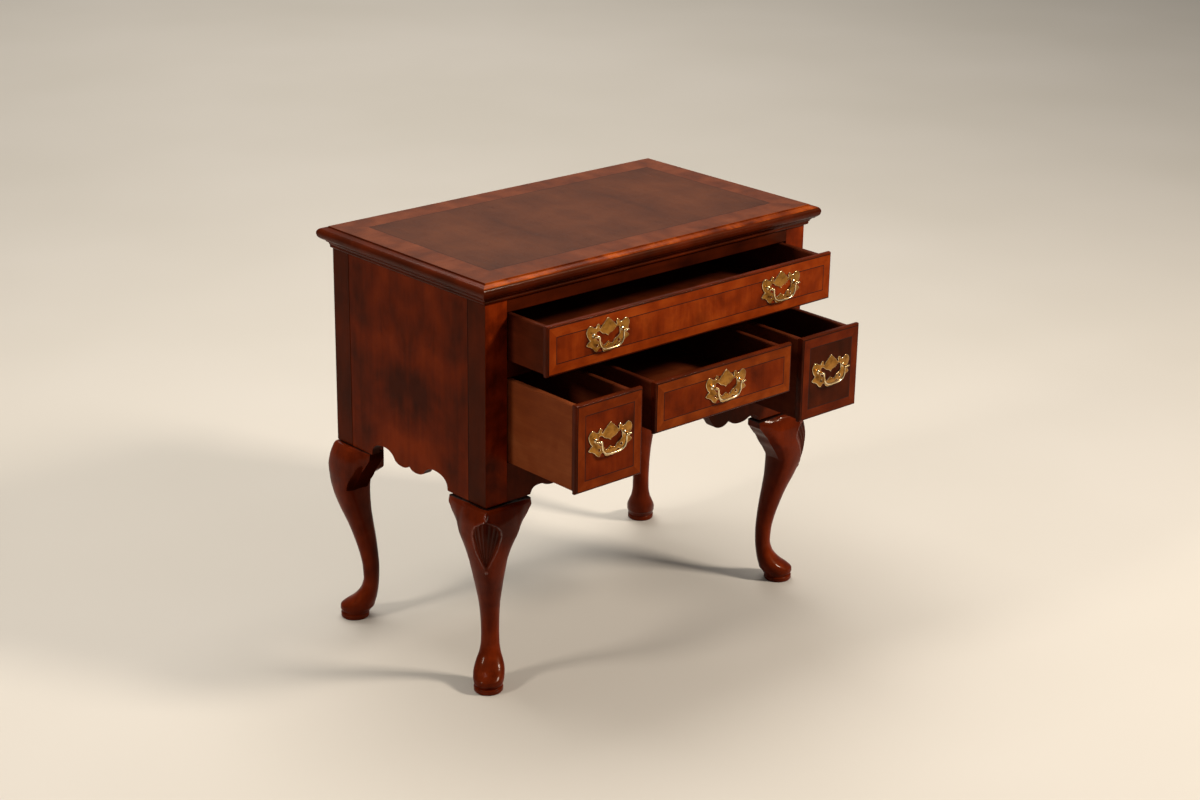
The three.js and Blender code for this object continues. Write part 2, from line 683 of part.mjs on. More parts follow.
const makeDrawer = ({ name, x0, x1, floor, head, out, pulls }) => {
  const group = new THREE.Group();
  group.position.y = frontY - closedGap - out;
  body.add(group);
  const z0 = floor + runningGap;
  const z1 = head - drawerHeadGap;
  const left = x0 + drawerSideGap;
  const right = x1 - drawerSideGap;
  const lip = [x0 - lipSideReach, x1 + lipSideReach, z0, head + lipTopReach];
  const middleX = (lip[0] + lip[1]) / 2;
  const middleZ = (lip[2] + lip[3]) / 2;
  const places = pulls.map((offset) => [middleX + offset, middleZ]);
  addMesh(`${name}_front`, makeFront([left, right, z0, z1], lip, places), veneer, group);
  addMesh(`${name}_side_left`, sideBoard(left + boardThickness, left, z0, z1), drawerWood, group);
  addMesh(`${name}_side_right`, sideBoard(right - boardThickness, right, z0, z1), drawerWood, group);
  const backStart = boxLength - boardThickness;
  const inner = [left + boardThickness, right - boardThickness];
  const bottomLow = z0 + bottomRise;
  const bottomHigh = bottomLow + bottomThickness;
  addBoard(`${name}_back`, inner, [backStart, boxLength], [bottomHigh, z1 - backDrop], drawerWood, group);
  const spread = grooveDepth - seatGap;
  addBoard(`${name}_bottom`, [inner[0] - spread, inner[1] + spread],
    [bodyThickness, boxLength], [bottomLow, bottomHigh], innerWood, group);
  const labels = pulls.length > 1 ? ['_left', '_right'] : [''];
  places.forEach(([x, z], i) => {
    const posts = [-1, 1].map((side) =>
      makePost().translate((side * postSpacing) / 2, 0, pullRise));
    const plate = addMesh(`${name}_plate${labels[i]}`, join([makePlate(), ...posts]), brass, group);
    plate.position.set(x, -lipThickness, z);
    const bail = addMesh(`${name}_bail${labels[i]}`, makeBail(), brass, group);
    bail.position.set(x, -lipThickness - postStandoff, z + pullRise);
  });
};

const makeDrawers = () => {
  makeDrawer({
    name: 'long_drawer', x0: -postX, x1: postX, floor: longFloor, head: longTop,
    out: longDrawerOut, pulls: [pullInset - postX, postX - pullInset],
  });
  makeDrawer({
    name: 'left_drawer', x0: -postX, x1: -dividerOuterX, floor: deepFloor, head: rowTop,
    out: leftDrawerOut, pulls: [0],
  });
  makeDrawer({
    name: 'centre_drawer', x0: -centreX, x1: centreX, floor: centreFloor, head: rowTop,
    out: centreDrawerOut, pulls: [0],
  });
  makeDrawer({
    name: 'right_drawer', x0: dividerOuterX, x1: postX, floor: deepFloor, head: rowTop,
    out: rightDrawerOut, pulls: [0],
  });
};

makeTop();
makeMoulding();
makePosts();
makePanels();
makeApron();
makeRails();
makeRunners();
makeDividers();
makeLegs();
makeDrawers();

// The whole outline runs from the posts of the furthest pull to the back edge of the top
const furthestOut = Math.max(longDrawerOut, leftDrawerOut, centreDrawerOut, rightDrawerOut);
const frontMost = frontY - closedGap - furthestOut - lipThickness - postStandoff - headRadius;
const backMost = backY + topBackOverhang;
body.position.y = -(frontMost + backMost) / 2;

export default lowboy;
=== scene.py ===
"""The looks of a lowboy on cabriole legs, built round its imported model. Metres, +Z up, front at -Y."""

import json
import math

import bmesh
import bpy
import numpy as np
from mathutils import Matrix, Vector

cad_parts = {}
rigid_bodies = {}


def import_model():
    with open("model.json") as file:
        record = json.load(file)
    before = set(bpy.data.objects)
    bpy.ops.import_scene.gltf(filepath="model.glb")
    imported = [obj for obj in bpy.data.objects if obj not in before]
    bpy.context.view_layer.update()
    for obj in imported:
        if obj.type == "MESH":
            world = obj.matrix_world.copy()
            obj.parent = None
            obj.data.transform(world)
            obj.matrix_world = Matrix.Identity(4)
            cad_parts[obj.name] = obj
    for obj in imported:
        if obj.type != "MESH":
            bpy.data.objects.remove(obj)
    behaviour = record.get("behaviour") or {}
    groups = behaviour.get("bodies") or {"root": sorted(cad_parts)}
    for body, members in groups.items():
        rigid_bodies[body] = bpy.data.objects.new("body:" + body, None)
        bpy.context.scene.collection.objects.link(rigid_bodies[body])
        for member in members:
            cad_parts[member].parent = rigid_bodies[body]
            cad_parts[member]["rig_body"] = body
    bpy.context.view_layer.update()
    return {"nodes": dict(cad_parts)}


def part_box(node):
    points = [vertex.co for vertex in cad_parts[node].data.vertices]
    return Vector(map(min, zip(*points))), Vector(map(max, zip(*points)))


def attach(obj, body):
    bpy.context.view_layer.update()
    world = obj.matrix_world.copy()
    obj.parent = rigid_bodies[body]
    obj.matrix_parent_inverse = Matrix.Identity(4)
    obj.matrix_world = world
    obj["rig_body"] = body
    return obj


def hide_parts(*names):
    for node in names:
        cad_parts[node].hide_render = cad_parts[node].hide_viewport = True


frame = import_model()

X, Y, Z = 0, 1, 2
HANDS = (("left", -1), ("right", 1))

# Places read from the frame
CASE_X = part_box("side_panel_right")[1].x
FRONT_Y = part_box("front_post_left")[0].y
BACK_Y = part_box("rear_post_left")[1].y
LEG_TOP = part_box("front_post_left")[0].z
BOARD_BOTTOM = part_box("front_post_left")[1].z
CASE_MIDDLE_Y = (FRONT_Y + BACK_Y) / 2

# Camera
CAMERA_PLACE = Vector((-2.4841, -2.7312, 1.7674))
CAMERA_AZIMUTH = math.radians(-42.17)
CAMERA_ELEVATION = math.radians(20.328)
CAMERA_ROLL = math.radians(0.8694)
CAMERA_LENS = 68.71
CAMERA_SENSOR = 36

# Finish of the edges and meshes
EDGE_ROUNDING = 0.0006
SHARP_ANGLE = math.radians(32)
FLAT_ANGLE = math.radians(0.5)
MERGE_DISTANCE = 1e-6
FACES_FRONT = 0.99
LINE_WIDTH = 0.0013

# Where a leg's shares are measured from, inwards from the corner of the case
PAD_INSET_SIDE = 0.0139
PAD_INSET_FRONT = 0.0119
PAD_INSET_BACK = 0.0178

# Shell on a front knee, in metres: down from the leg top, and half its width there
SHELL_ROWS = [
    (0.0165, 0.0005), (0.021, 0.009), (0.028, 0.0175), (0.036, 0.0225), (0.046, 0.0235), (0.058, 0.0205),
    (0.072, 0.0158), (0.086, 0.0095), (0.098, 0.0038), (0.105, 0.0008),
]


# Materials: sizes of the grain's parts are across it and along it

CLOUD_LENGTH = 1.15
STREAK_SIZE = (0.012, 0.11)
FINE_SIZE = (0.002, 0.05)
KNOT_SIZE = (0.05, 0.06)
RIPPLE_SIZE = (0.016, 0.0045)
PORE_SIZE = (0.0005, 0.007)

# The part of a noise's range that is used
NOISE_RANGE = (0.3, 0.7)
KNOT_RANGE = (0.56, 0.72)
PORE_RANGE = (0.6, 0.74)

FIGURE_STOPS = (0.3, 0.5, 0.7)
FINE_SHADE = 0.06
FINE_HEIGHT = 0.4
PORE_SHADE = 0.82
# Painted shade in the carved hollows of the front knees, and how wide its soft edge is
CARVING_PAINTED_SHADE = 0.42
CARVING_PAINTED_SHADE_WIDTH = 0.009
GLOSS_RANGE = (-0.03, 0.05)
GRAIN_BUMP = 0.00003
COAT_ROUGHNESS = 0.1
GLOW = "#ffc48a"
SPECK_SIZE = 0.002
SPECK_SHADE = 0.15
LINE_SHINE = 0.1
TARNISH_SIZE = 0.009
TARNISH_RANGE = (0.3, 0.56)
TARNISH_ROUGHNESS = 0.14
SCRATCH_SIZES = (0.0003, 0.0003, 0.004)
SCRATCH_BUMP = 0.00002


def linear(code):
    """A colour written as #rrggbb, as the four linear values that a socket takes."""
    values = [int(code[i:i + 2], 16) / 255 for i in (1, 3, 5)]
    return [v / 12.92 if v <= 0.04045 else ((v + 0.055) / 1.055) ** 2.4 for v in values] + [1]


class Shader:
    """A material whose nodes are added one by one and fed with values or other nodes' outputs."""

    def __init__(self, name):
        self.material = bpy.data.materials.new(name)
        self.material.use_nodes = True
        self.tree = self.material.node_tree
        self.surface = self.tree.nodes["Principled BSDF"]

    def feed(self, node, inputs):
        for key, value in inputs.items():
            if isinstance(value, bpy.types.NodeSocket):
                self.tree.links.new(value, node.inputs[key])
            else:
                node.inputs[key].default_value = value
        return node

    def add(self, kind, inputs, output=0, **settings):
        node = self.tree.nodes.new("ShaderNode" + kind)
        for key, value in settings.items():
            setattr(node, key, value)
        return self.feed(node, inputs).outputs[output]

    def place(self):
        return self.add("TexCoord", {}, "Object")

    def math(self, operation, *values):
        return self.add("Math", dict(enumerate(values)), operation=operation)

    def noise(self, vector, detail=3, roughness=0.5, distortion=0):
        inputs = {"Vector": vector, "Scale": 1, "Detail": detail, "Roughness": roughness}
        return self.add("TexNoise", {**inputs, "Distortion": distortion})

    def stretch(self, vector, sizes, shift=0):
        scale = [1 / size for size in sizes]
        place = (shift, 2 * shift, 3 * shift)
        return self.add("Mapping", {"Vector": vector, "Scale": scale, "Location": place})

    def spread(self, value, low, high, start, end):
        """Moves the range low to high of a value onto start to end."""
        inputs = {"Value": value, "From Min": low, "From Max": high, "To Min": start, "To Max": end}
        return self.add("MapRange", inputs)

    def ramp(self, value, stops):
        """Colours from #rrggbb codes or from four linear values."""
        node = self.tree.nodes.new("ShaderNodeValToRGB")
        elements = node.color_ramp.elements
        while len(elements) < len(stops):
            elements.new(0.5)
        for element, (position, colour) in zip(elements, stops):
            element.position = position
            element.color = linear(colour) if isinstance(colour, str) else colour
        return self.feed(node, {"Fac": value}).outputs["Color"]

    def mix(self, factor, first, second):
        inputs = {0: factor, 6: first, 7: second}
        return self.add("Mix", inputs, 2, data_type="RGBA")

    def shade(self, colour, value):
        return self.add("HueSaturation", {"Color": colour, "Value": value})

    def bump(self, height, distance):
        return self.add("Bump", {"Height": height, "Strength": 1, "Distance": distance})


def wood(name, colours, grain, cloud=0.07, cloudy=0.8, streaky=0.2, gloss=0.34, coat=0.0, shine=0.05,
         shift=0.0, seams=(), waves=0.0, smudge=0.0, painted_shade=None):
    """Wood under lacquer. The colours go from deep to light; cloud is the size of its broad soft patches.

    At each seam, an axis and a place on it, the figure is mirrored as in matched veneer.
    """
    s = Shader(name)
    place = s.place()
    if seams:
        axes = list(s.add("SeparateXYZ", {"Vector": place}).node.outputs)
        for axis, middle in seams:
            axes[axis] = s.math("ABSOLUTE", s.math("SUBTRACT", axes[axis], middle))
        place = s.add("CombineXYZ", {"X": axes[0], "Y": axes[1], "Z": axes[2]})

    def along_grain(across, along, number):
        sizes = [across] * 3
        sizes[grain] = along
        return s.stretch(place, sizes, shift + number)

    patches = s.noise(along_grain(cloud, CLOUD_LENGTH * cloud, 0), detail=4, roughness=0.52, distortion=0.25)
    streaks = s.noise(along_grain(*STREAK_SIZE, 4), detail=2, distortion=0.4)
    figure = s.math("MULTIPLY_ADD", s.math("SUBTRACT", patches, 0.5), cloudy, 0.5)
    figure = s.math("MULTIPLY_ADD", s.math("SUBTRACT", streaks, 0.5), streaky, figure)
    colour = s.ramp(figure, list(zip(FIGURE_STOPS, colours)))
    fine = s.noise(along_grain(*FINE_SIZE, 1), detail=4, roughness=0.6, distortion=0.3)
    colour = s.shade(colour, s.spread(fine, *NOISE_RANGE, 1 - FINE_SHADE, 1 + FINE_SHADE))
    if smudge:
        knots = s.noise(along_grain(*KNOT_SIZE, 6), detail=3, roughness=0.55, distortion=0.5)
        colour = s.shade(colour, s.spread(knots, *KNOT_RANGE, 1, 1 - smudge))
    if waves:
        ripple = s.noise(along_grain(*RIPPLE_SIZE, 2), detail=1, distortion=0.8)
        colour = s.shade(colour, s.spread(ripple, *NOISE_RANGE, 1 - waves, 1 + waves))
    # Painted shade: darker where the given mask is 1
    if painted_shade:
        colour = s.shade(colour, s.spread(painted_shade(s), 0, 1, 1, CARVING_PAINTED_SHADE))
    pores = s.noise(along_grain(*PORE_SIZE, 3), detail=2)
    hollow = s.spread(pores, *PORE_RANGE, 0, 1)
    colour = s.shade(colour, s.spread(hollow, 0, 1, 1, PORE_SHADE))
    roughness = s.spread(fine, *NOISE_RANGE, gloss + GLOSS_RANGE[0], gloss + GLOSS_RANGE[1])
    height = s.math("MULTIPLY_ADD", hollow, -1, s.math("MULTIPLY", fine, FINE_HEIGHT))
    s.feed(s.surface, {
        "Base Color": colour, "Roughness": roughness, "Normal": s.bump(height, GRAIN_BUMP),
        "Specular IOR Level": shine, "Specular Tint": linear(GLOW), "Coat Weight": coat,
        "Coat Roughness": COAT_ROUGHNESS,
    })
    return s.material


def plain(name, colour, roughness):
    """The thin inlaid lines, and a dark colour for the dark joints, the quirks and the painted shade in the
    seams over the legs.
    """
    s = Shader(name)
    specks = s.noise(s.stretch(s.place(), [SPECK_SIZE] * 3), detail=3)
    shade = s.shade(linear(colour), s.spread(specks, *NOISE_RANGE, 1 - SPECK_SHADE, 1 + SPECK_SHADE))
    s.feed(s.surface, {"Base Color": shade, "Roughness": roughness, "Specular IOR Level": LINE_SHINE})
    return s.material


def metal(name, bright, dull, roughness):
    """Old brass: brighter where hands rub it, with soft brown patches of tarnish and fine scratches."""
    s = Shader(name)
    place = s.place()
    patches = s.noise(s.stretch(place, [TARNISH_SIZE] * 3), detail=4, roughness=0.6)
    colour = s.ramp(patches, list(zip(TARNISH_RANGE, (dull, bright))))
    scratches = s.noise(s.stretch(place, SCRATCH_SIZES), detail=2)
    rough = s.spread(patches, *NOISE_RANGE, roughness + TARNISH_ROUGHNESS, roughness)
    s.feed(s.surface, {
        "Base Color": colour, "Metallic": 1, "Roughness": rough, "Normal": s.bump(scratches, SCRATCH_BUMP),
    })
    return s.material


def knee_hollow_painted_shade(s):
    """Painted shade in the carved knees: 1 in their hollows and 0 away from them."""
    x, y, z = s.add("SeparateXYZ", {"Vector": s.place()}).node.outputs
    inwards = s.math("SUBTRACT", CASE_X, s.math("ABSOLUTE", x))
    across = s.math("SUBTRACT", inwards, s.math("SUBTRACT", y, FRONT_Y))
    across = s.math("ABSOLUTE", s.math("SUBTRACT", across, PAD_INSET_SIDE - PAD_INSET_FRONT))
    rows = np.array(SHELL_ROWS)
    tall, wide = rows[-1, 0], rows[:, 1].max()
    stops = [(down / tall, [half / wide] * 3 + [1]) for down, half in rows]
    share = s.ramp(s.math("DIVIDE", s.math("SUBTRACT", LEG_TOP, z), tall), stops)
    half = s.math("MULTIPLY", share, wide * math.sqrt(2))
    return s.spread(s.math("SUBTRACT", half, across), 0, CARVING_PAINTED_SHADE_WIDTH, 0, 1)


TRIM = ("#2f0e03", "#471604", "#601f06")
POST = ("#2e0d03", "#431504", "#5a1d06")
APRON = ("#300e03", "#4a1604", "#62220a")
# Veneer of the rails, darker in part as painted shade under the top and the drawers
RAIL_AND_PAINTED_SHADE = ("#2a0b03", "#3f1304", "#541b06")
# A lighter copy of the post wood for the posts' front faces: painted light
POST_FACE_PAINTED_LIGHT = ("#4a1404", "#6e2206", "#8c300a")
# Lighter colours for the rounding on the top's front edge: a painted highlight
TOP_SHOULDER_HIGHLIGHT = ("#4c1a07", "#742e0c", "#a04813")
PANEL = ("#3d1204", "#5f1e05", "#7c2c0b")
LEG = ("#3e0f02", "#601d04", "#7c2908")
# Painted shade: a darker copy of the leg wood for the rear brackets' faces that turn to the front, under the
# case
REAR_BRACKET_PAINTED_SHADE = ("#260902", "#361003", "#461706")
TOP = ("#381606", "#4e240d", "#5e2f14")
TOP_BAND = ("#4a1e09", "#5e290e", "#703619")
SIDE_BOARD = ("#3c1508", "#52200f", "#663018")
# A lighter copy of the drawer side wood for the left drawer's outer left side: painted light
PALE_SIDE_PAINTED_LIGHT = ("#66301a", "#7a3c1e", "#8c4c2a")
BOTTOM = ("#3c1608", "#5a240e", "#703318")
HIDDEN = ("#6a4629", "#7a5232", "#8a5f3c")
BANDS = {
    "long_drawer": ("#722605", "#8c3409", "#a64814"), "left_drawer": ("#602106", "#762d0a", "#8e3d13"),
    "centre_drawer": ("#682708", "#80350c", "#984515"), "right_drawer": ("#4a1605", "#602008", "#732c0d"),
}
FIELDS = {
    "long_drawer": ("#5c1c04", "#822e08", "#a24412"), "left_drawer": ("#421403", "#692206", "#85320c"),
    "centre_drawer": ("#4a1604", "#702606", "#8a360d"), "right_drawer": ("#260b02", "#3f1404", "#531e08"),
}

LEG_LOOK = {"cloud": 0.05, "cloudy": 0.7, "gloss": 0.3, "coat": 0.1}
TOP_LOOK = {"gloss": 0.3, "coat": 0.04, "shine": 0.15}
BAND_LOOK = {"cloud": 0.03, "cloudy": 0.7}

walnut = [wood(f"walnut_{'xyz'[axis]}", TRIM, axis, shift=axis, coat=0.08) for axis in (X, Y, Z)]
leg_wood = wood("leg_walnut", LEG, Z, **LEG_LOOK)
knee_wood_painted_shade = wood("knee_walnut_painted_shade", LEG, Z, painted_shade=knee_hollow_painted_shade, **LEG_LOOK)
rear_bracket_painted_shade = wood("rear_bracket_walnut_painted_shade", REAR_BRACKET_PAINTED_SHADE, Z, gloss=0.5, shine=0)
bud_wood = wood("bud_walnut", LEG, Z, gloss=0.25, coat=0.9)
side_wood = wood("side_veneer", PANEL, Z, cloud=0.1, cloudy=1.0, smudge=0.28, seams=[(Y, CASE_MIDDLE_Y)])
post_wood = wood("post_veneer", POST, Z, cloudy=0.6, shift=4)
post_face_painted_light = wood("post_front_painted_light", POST_FACE_PAINTED_LIGHT, Z, cloud=0.04, cloudy=1.1, shift=2)
top_shoulder_highlight = wood("top_shoulder_highlight", TOP_SHOULDER_HIGHLIGHT, X, cloud=0.06, cloudy=1.3, coat=0.06, waves=0.1, shift=5)
rail_wood_and_painted_shade = wood("rail_veneer_and_painted_shade", RAIL_AND_PAINTED_SHADE, X, shift=7)
apron_wood = wood("apron_veneer", APRON, Z, shift=3)
top_field = wood("top_field", TOP, Y, cloud=0.08, cloudy=0.55, streaky=0.1,
                 seams=[(X, 0), (Y, CASE_MIDDLE_Y)], **TOP_LOOK)
top_band_x = wood("top_band_front", TOP_BAND, Y, cloud=0.04, **TOP_LOOK)
top_band_y = wood("top_band_side", TOP_BAND, X, cloud=0.04, **TOP_LOOK)
line_dark = plain("line_dark", "#1a0803", 0.4)
# Dark colour for the joints and the quirks, and painted shade in the seams over the legs
dark_lines_and_painted_shade = plain("dark_lines_and_painted_shade", "#1e0702", 0.35)
bands_upright, bands_level, fields = {}, {}, {}
for number, drawer in enumerate(BANDS):
    bands_upright[drawer] = wood(f"band_upright_{drawer}", BANDS[drawer], X, shift=number, **BAND_LOOK)
    bands_level[drawer] = wood(f"band_level_{drawer}", BANDS[drawer], Z, shift=number + 5, **BAND_LOOK)
    fields[drawer] = wood(f"field_{drawer}", FIELDS[drawer], Z, cloud=0.05, shift=11 + 9 * number,
                          waves=0.03, smudge=0.3)
side_board_wood = wood("drawer_side_wood", SIDE_BOARD, Y, gloss=0.42)
pale_side_painted_light = wood("pale_side_painted_light", PALE_SIDE_PAINTED_LIGHT, Y, gloss=0.42)
bottom_wood = wood("drawer_bottom_wood", BOTTOM, X, gloss=0.5)
hidden_wood = wood("hidden_wood", HIDDEN, X, cloudy=0.3, streaky=0.4, gloss=0.6)
brass_plate = metal("brass_plate", "#a67431", "#7c511e", 0.3)
# A paler brass for the posts and bails, partly a painted reflection; on the plates' bevelled edges it is a
# painted highlight
pale_brass_and_edge_highlight = metal("pale_brass_and_edge_highlight", "#ecd7ab", "#b8935a", 0.12)


# Meshes

def to_mesh(name, vertices, faces, materials, face_materials=None):
    """A mesh with outward faces, smooth but for its sharp edges."""
    mesh = bpy.data.meshes.new(name)
    mesh.from_pydata([tuple(v) for v in vertices], [], [tuple(f) for f in faces])
    for material in materials:
        mesh.materials.append(material)
    if face_materials is not None:
        mesh.polygons.foreach_set("material_index", face_materials)
    return tidied(mesh)


def tidied(mesh):
    work = bmesh.new()
    work.from_mesh(mesh)
    bmesh.ops.recalc_face_normals(work, faces=work.faces)
    work.to_mesh(mesh)
    work.free()
    mesh.polygons.foreach_set("use_smooth", [True] * len(mesh.polygons))
    mesh.set_sharp_from_angle(angle=SHARP_ANGLE)
    return mesh


def in_scene(name, data):
    item = bpy.data.objects.new(name, data)
    bpy.context.scene.collection.objects.link(item)
    return item


def piece(name, mesh, nodes, body=None, rounding=0.0):
    """Puts a mesh in the scene in place of the nodes that it stands for."""
    item = in_scene(name, mesh)
    if rounding:
        soft = item.modifiers.new("rounding", "BEVEL")
        soft.width = rounding
        soft.segments = 2
        soft.limit_method = "ANGLE"
        soft.angle_limit = SHARP_ANGLE
        soft.harden_normals = True
    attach(item, body or frame["nodes"][nodes[0]]["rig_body"])
    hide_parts(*nodes)


def loft(rings):
    """Faces through rings of as many points each, with a face over each end."""
    count = len(rings[0])
    vertices = [point for ring in rings for point in ring]
    faces = []
    for r in range(len(rings) - 1):
        for i in range(count):
            j = (i + 1) % count
            faces.append((r * count + i, r * count + j, (r + 1) * count + j, (r + 1) * count + i))
    faces.append(tuple(range(count)))
    faces.append(tuple((len(rings) - 1) * count + i for i in range(count)))
    return vertices, faces


def loft_piece(name, rings, materials, nodes, kinds=None, body=None, rounding=0.0):
    mesh = to_mesh(name, *loft(rings), materials, kinds)
    piece(name, mesh, nodes, body, rounding)


def full_turn(sides):
    return 2 * math.pi * np.arange(sides) / sides


def slopes(xs, ys):
    """Slopes of a curve through the points that never overshoots them."""
    steps = np.diff(xs)
    rates = np.diff(ys) / steps
    found = np.empty(len(xs))
    found[0], found[-1] = rates[0], rates[-1]
    for i in range(1, len(xs) - 1):
        if rates[i - 1] * rates[i] <= 0:
            found[i] = 0
        else:
            before, after = 2 * steps[i] + steps[i - 1], steps[i] + 2 * steps[i - 1]
            found[i] = (before + after) / (before / rates[i - 1] + after / rates[i])
    return found


def eased(rows, divisions):
    """Rows of numbers with more rows between them, on smooth curves over the first number."""
    table = np.array(rows, float)
    xs = table[:, 0]
    order = 1 if xs[-1] > xs[0] else -1
    samples = [xs[0]]
    for start, end in zip(xs[:-1], xs[1:]):
        samples.extend(np.linspace(start, end, divisions + 1)[1:])
    samples = np.array(samples)
    columns = [samples]
    for column in range(1, table.shape[1]):
        knots, values = order * xs, table[:, column]
        tangents = slopes(knots, values)
        cell = np.clip(np.searchsorted(knots, order * samples, "right") - 1, 0, len(knots) - 2)
        width = knots[cell + 1] - knots[cell]
        t = (order * samples - knots[cell]) / width
        columns.append(
            (1 + 2 * t) * (1 - t) ** 2 * values[cell] + t * (1 - t) ** 2 * width * tangents[cell]
            + t * t * (3 - 2 * t) * values[cell + 1] - t * t * (1 - t) * width * tangents[cell + 1]
        )
    return np.stack(columns, 1)


def rounded(points, divisions):
    """A smooth line through points of any dimension."""
    table = np.array(points, float)
    last = len(table) - 1
    line = []
    for i in range(last):
        a, b, c, d = (table[min(max(k, 0), last)] for k in (i - 1, i, i + 1, i + 2))
        for t in np.arange(divisions) / divisions:
            line.append(0.5 * (2 * b + (c - a) * t + (2 * a - 5 * b + 4 * c - d) * t ** 2
                               + (3 * b - a - 3 * c + d) * t ** 3))
    line.append(table[-1])
    return np.array(line)


def traced(shares, width, rise, divisions=10):
    """Rows of two shares are corners and rows of four are curves, in units of the two sizes."""
    points = [np.array(shares[0], float)]
    for row in shares[1:]:
        if len(row) == 2:
            points.append(np.array(row, float))
            continue
        start, bend, end = points[-1], np.array(row[:2]), np.array(row[2:])
        for t in np.arange(1, divisions + 1) / divisions:
            points.append((1 - t) ** 2 * start + 2 * t * (1 - t) * bend + t * t * end)
    return np.array(points) * (width, rise)


def mirrored(points):
    return (points * (-1, 1))[::-1]


def softened(node, material, rounding=EDGE_ROUNDING, front=None):
    """A board of the frame with its edges eased, and another wood on its front face if one is given."""
    mesh = frame["nodes"][node].data.copy()
    work = bmesh.new()
    work.from_mesh(mesh)
    bmesh.ops.remove_doubles(work, verts=work.verts, dist=MERGE_DISTANCE)
    bmesh.ops.dissolve_limit(work, angle_limit=FLAT_ANGLE, verts=work.verts, edges=work.edges)
    work.to_mesh(mesh)
    work.free()
    mesh.normals_split_custom_set([(0, 0, 0)] * len(mesh.loops))
    mesh.materials.clear()
    mesh.materials.append(material)
    if front:
        mesh.materials.append(front)
        for polygon in mesh.polygons:
            polygon.material_index = int(polygon.normal.y < -FACES_FRONT)
    piece(f"{node}_wood", tidied(mesh), [node], rounding=rounding)


# Top board: shares of the edge's width, inwards, and of the board's thickness, upwards

TOP_EDGE_SHARES = [
    (0.36, 0), (0.13, 0.14), (0.03, 0.3), (0, 0.46), (0.05, 0.6), (0.17, 0.72),
    (0.36, 0.81), (0.62, 0.86), (0.96, 0.89),
]
TOP_EDGE_WIDTH = 0.0147
TOP_BAND_WIDTH = 0.048
TOP_CORNER = 0.0006
# How many rows of the front edge's rounding take the painted highlight
HIGHLIGHT_ROWS = 18


def rectangle(low, high, inset, level):
    return [
        (low[0] + inset, low[1] + inset, level), (high[0] - inset, low[1] + inset, level),
        (high[0] - inset, high[1] - inset, level), (low[0] + inset, high[1] - inset, level),
    ]


def make_top():
    low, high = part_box("top_board")
    thickness = high.z - low.z
    shares = rounded(TOP_EDGE_SHARES, 5)
    rows = [(inset * TOP_EDGE_WIDTH, low.z + rise * thickness) for inset, rise in shares]
    step = TOP_EDGE_WIDTH
    rows += [(step, rows[-1][1] + TOP_CORNER), (step, high.z - TOP_CORNER), (step + TOP_CORNER, high.z)]
    edge_rows = len(rows)
    band_end = step + TOP_BAND_WIDTH
    rows += [(band_end, high.z), (band_end + LINE_WIDTH, high.z)]
    rings = [rectangle(low, high, inset, level) for inset, level in rows]
    kinds = []
    # The upper rows of the front edge take the lighter wood, a painted highlight
    highlight_start = edge_rows - HIGHLIGHT_ROWS
    for r in range(len(rings) - 1):
        if r < edge_rows - 1:
            kinds += [6 if r >= highlight_start else 0, 1, 0, 1]
        elif r == edge_rows - 1:
            kinds += [2, 3, 2, 3]
        else:
            kinds += [4] * 4
    kinds += [0, 5]
    materials = [walnut[X], walnut[Y], top_band_x, top_band_y, line_dark, top_field, top_shoulder_highlight]
    loft_piece("top_board_wood", rings, materials, ["top_board"], kinds)


# Moulding under the top: shares of its reach, outwards, and of its height, downwards

MOULDING_TOP = 0.93
COVE_SHARES = [(MOULDING_TOP, 0.12), (0.74, 0.18), (0.57, 0.31), (0.47, 0.46), (0.44, 0.56)]
BEAD_SHARES = [(0.34, 0.61), (0.38, 0.72), (0.33, 0.86), (0.19, 0.95), (0, 1)]
MITRE_GAP = 0.0002


def make_moulding():
    low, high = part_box("bed_moulding_front")
    reach, tall = (FRONT_Y - low.y) / MOULDING_TOP, high.z - low.z
    shares = [(0, 0), (MOULDING_TOP, 0), *rounded(COVE_SHARES, 5), *rounded(BEAD_SHARES, 5)]
    profile = [(out * reach, high.z - down * tall) for out, down in shares]
    ends = [[(side * (CASE_X + out - MITRE_GAP), FRONT_Y - out, z) for out, z in profile] for side in (-1, 1)]
    loft_piece("bed_moulding_front_wood", ends, [walnut[X]], ["bed_moulding_front"])
    for hand, side in HANDS:
        mitre = [(side * (CASE_X + out), FRONT_Y - out + MITRE_GAP, z) for out, z in profile]
        plain_end = [(side * (CASE_X + out), BACK_Y, z) for out, z in profile]
        node = f"bed_moulding_{hand}"
        loft_piece(f"{node}_wood", [mitre, plain_end], [walnut[Y]], [node])


# Side panels and the front apron, with their scalloped lower edges

SIDE_SCALLOP_SHARES = [
    (0, 0.49), (0.04, 0.17, 0.17, 0.17), (0.3, 0.17, 0.36, 0.4), (0.44, 0.98, 0.62, 1),
    (0.88, 1, 0.94, 0.36), (0.95, 0),
]
ARCH_SHARES = [(0, 1), (0.53, 1), (0.81, 1, 0.92, 0.62), (0.97, 0.42, 1, 0.32)]
LOBE_SHARES = [
    (0, 0.99), (0.05, 0.47, 0.18, 0.47), (0.28, 0.47, 0.35, 0.93), (0.4, 0.34, 0.58, 0.34),
    (0.7, 0.34, 0.77, 0.62), (0.91, 0.74, 0.965, 0.4), (1, 0),
]
SIDE_SCALLOP_RISE = 0.0245
ARCH_RISE = 0.062
LOBE_RISE = 0.02
BLOCK_LENGTH = 0.093
JOINT_WIDTH = 0.0012
JOINT_DEPTH = 0.0009

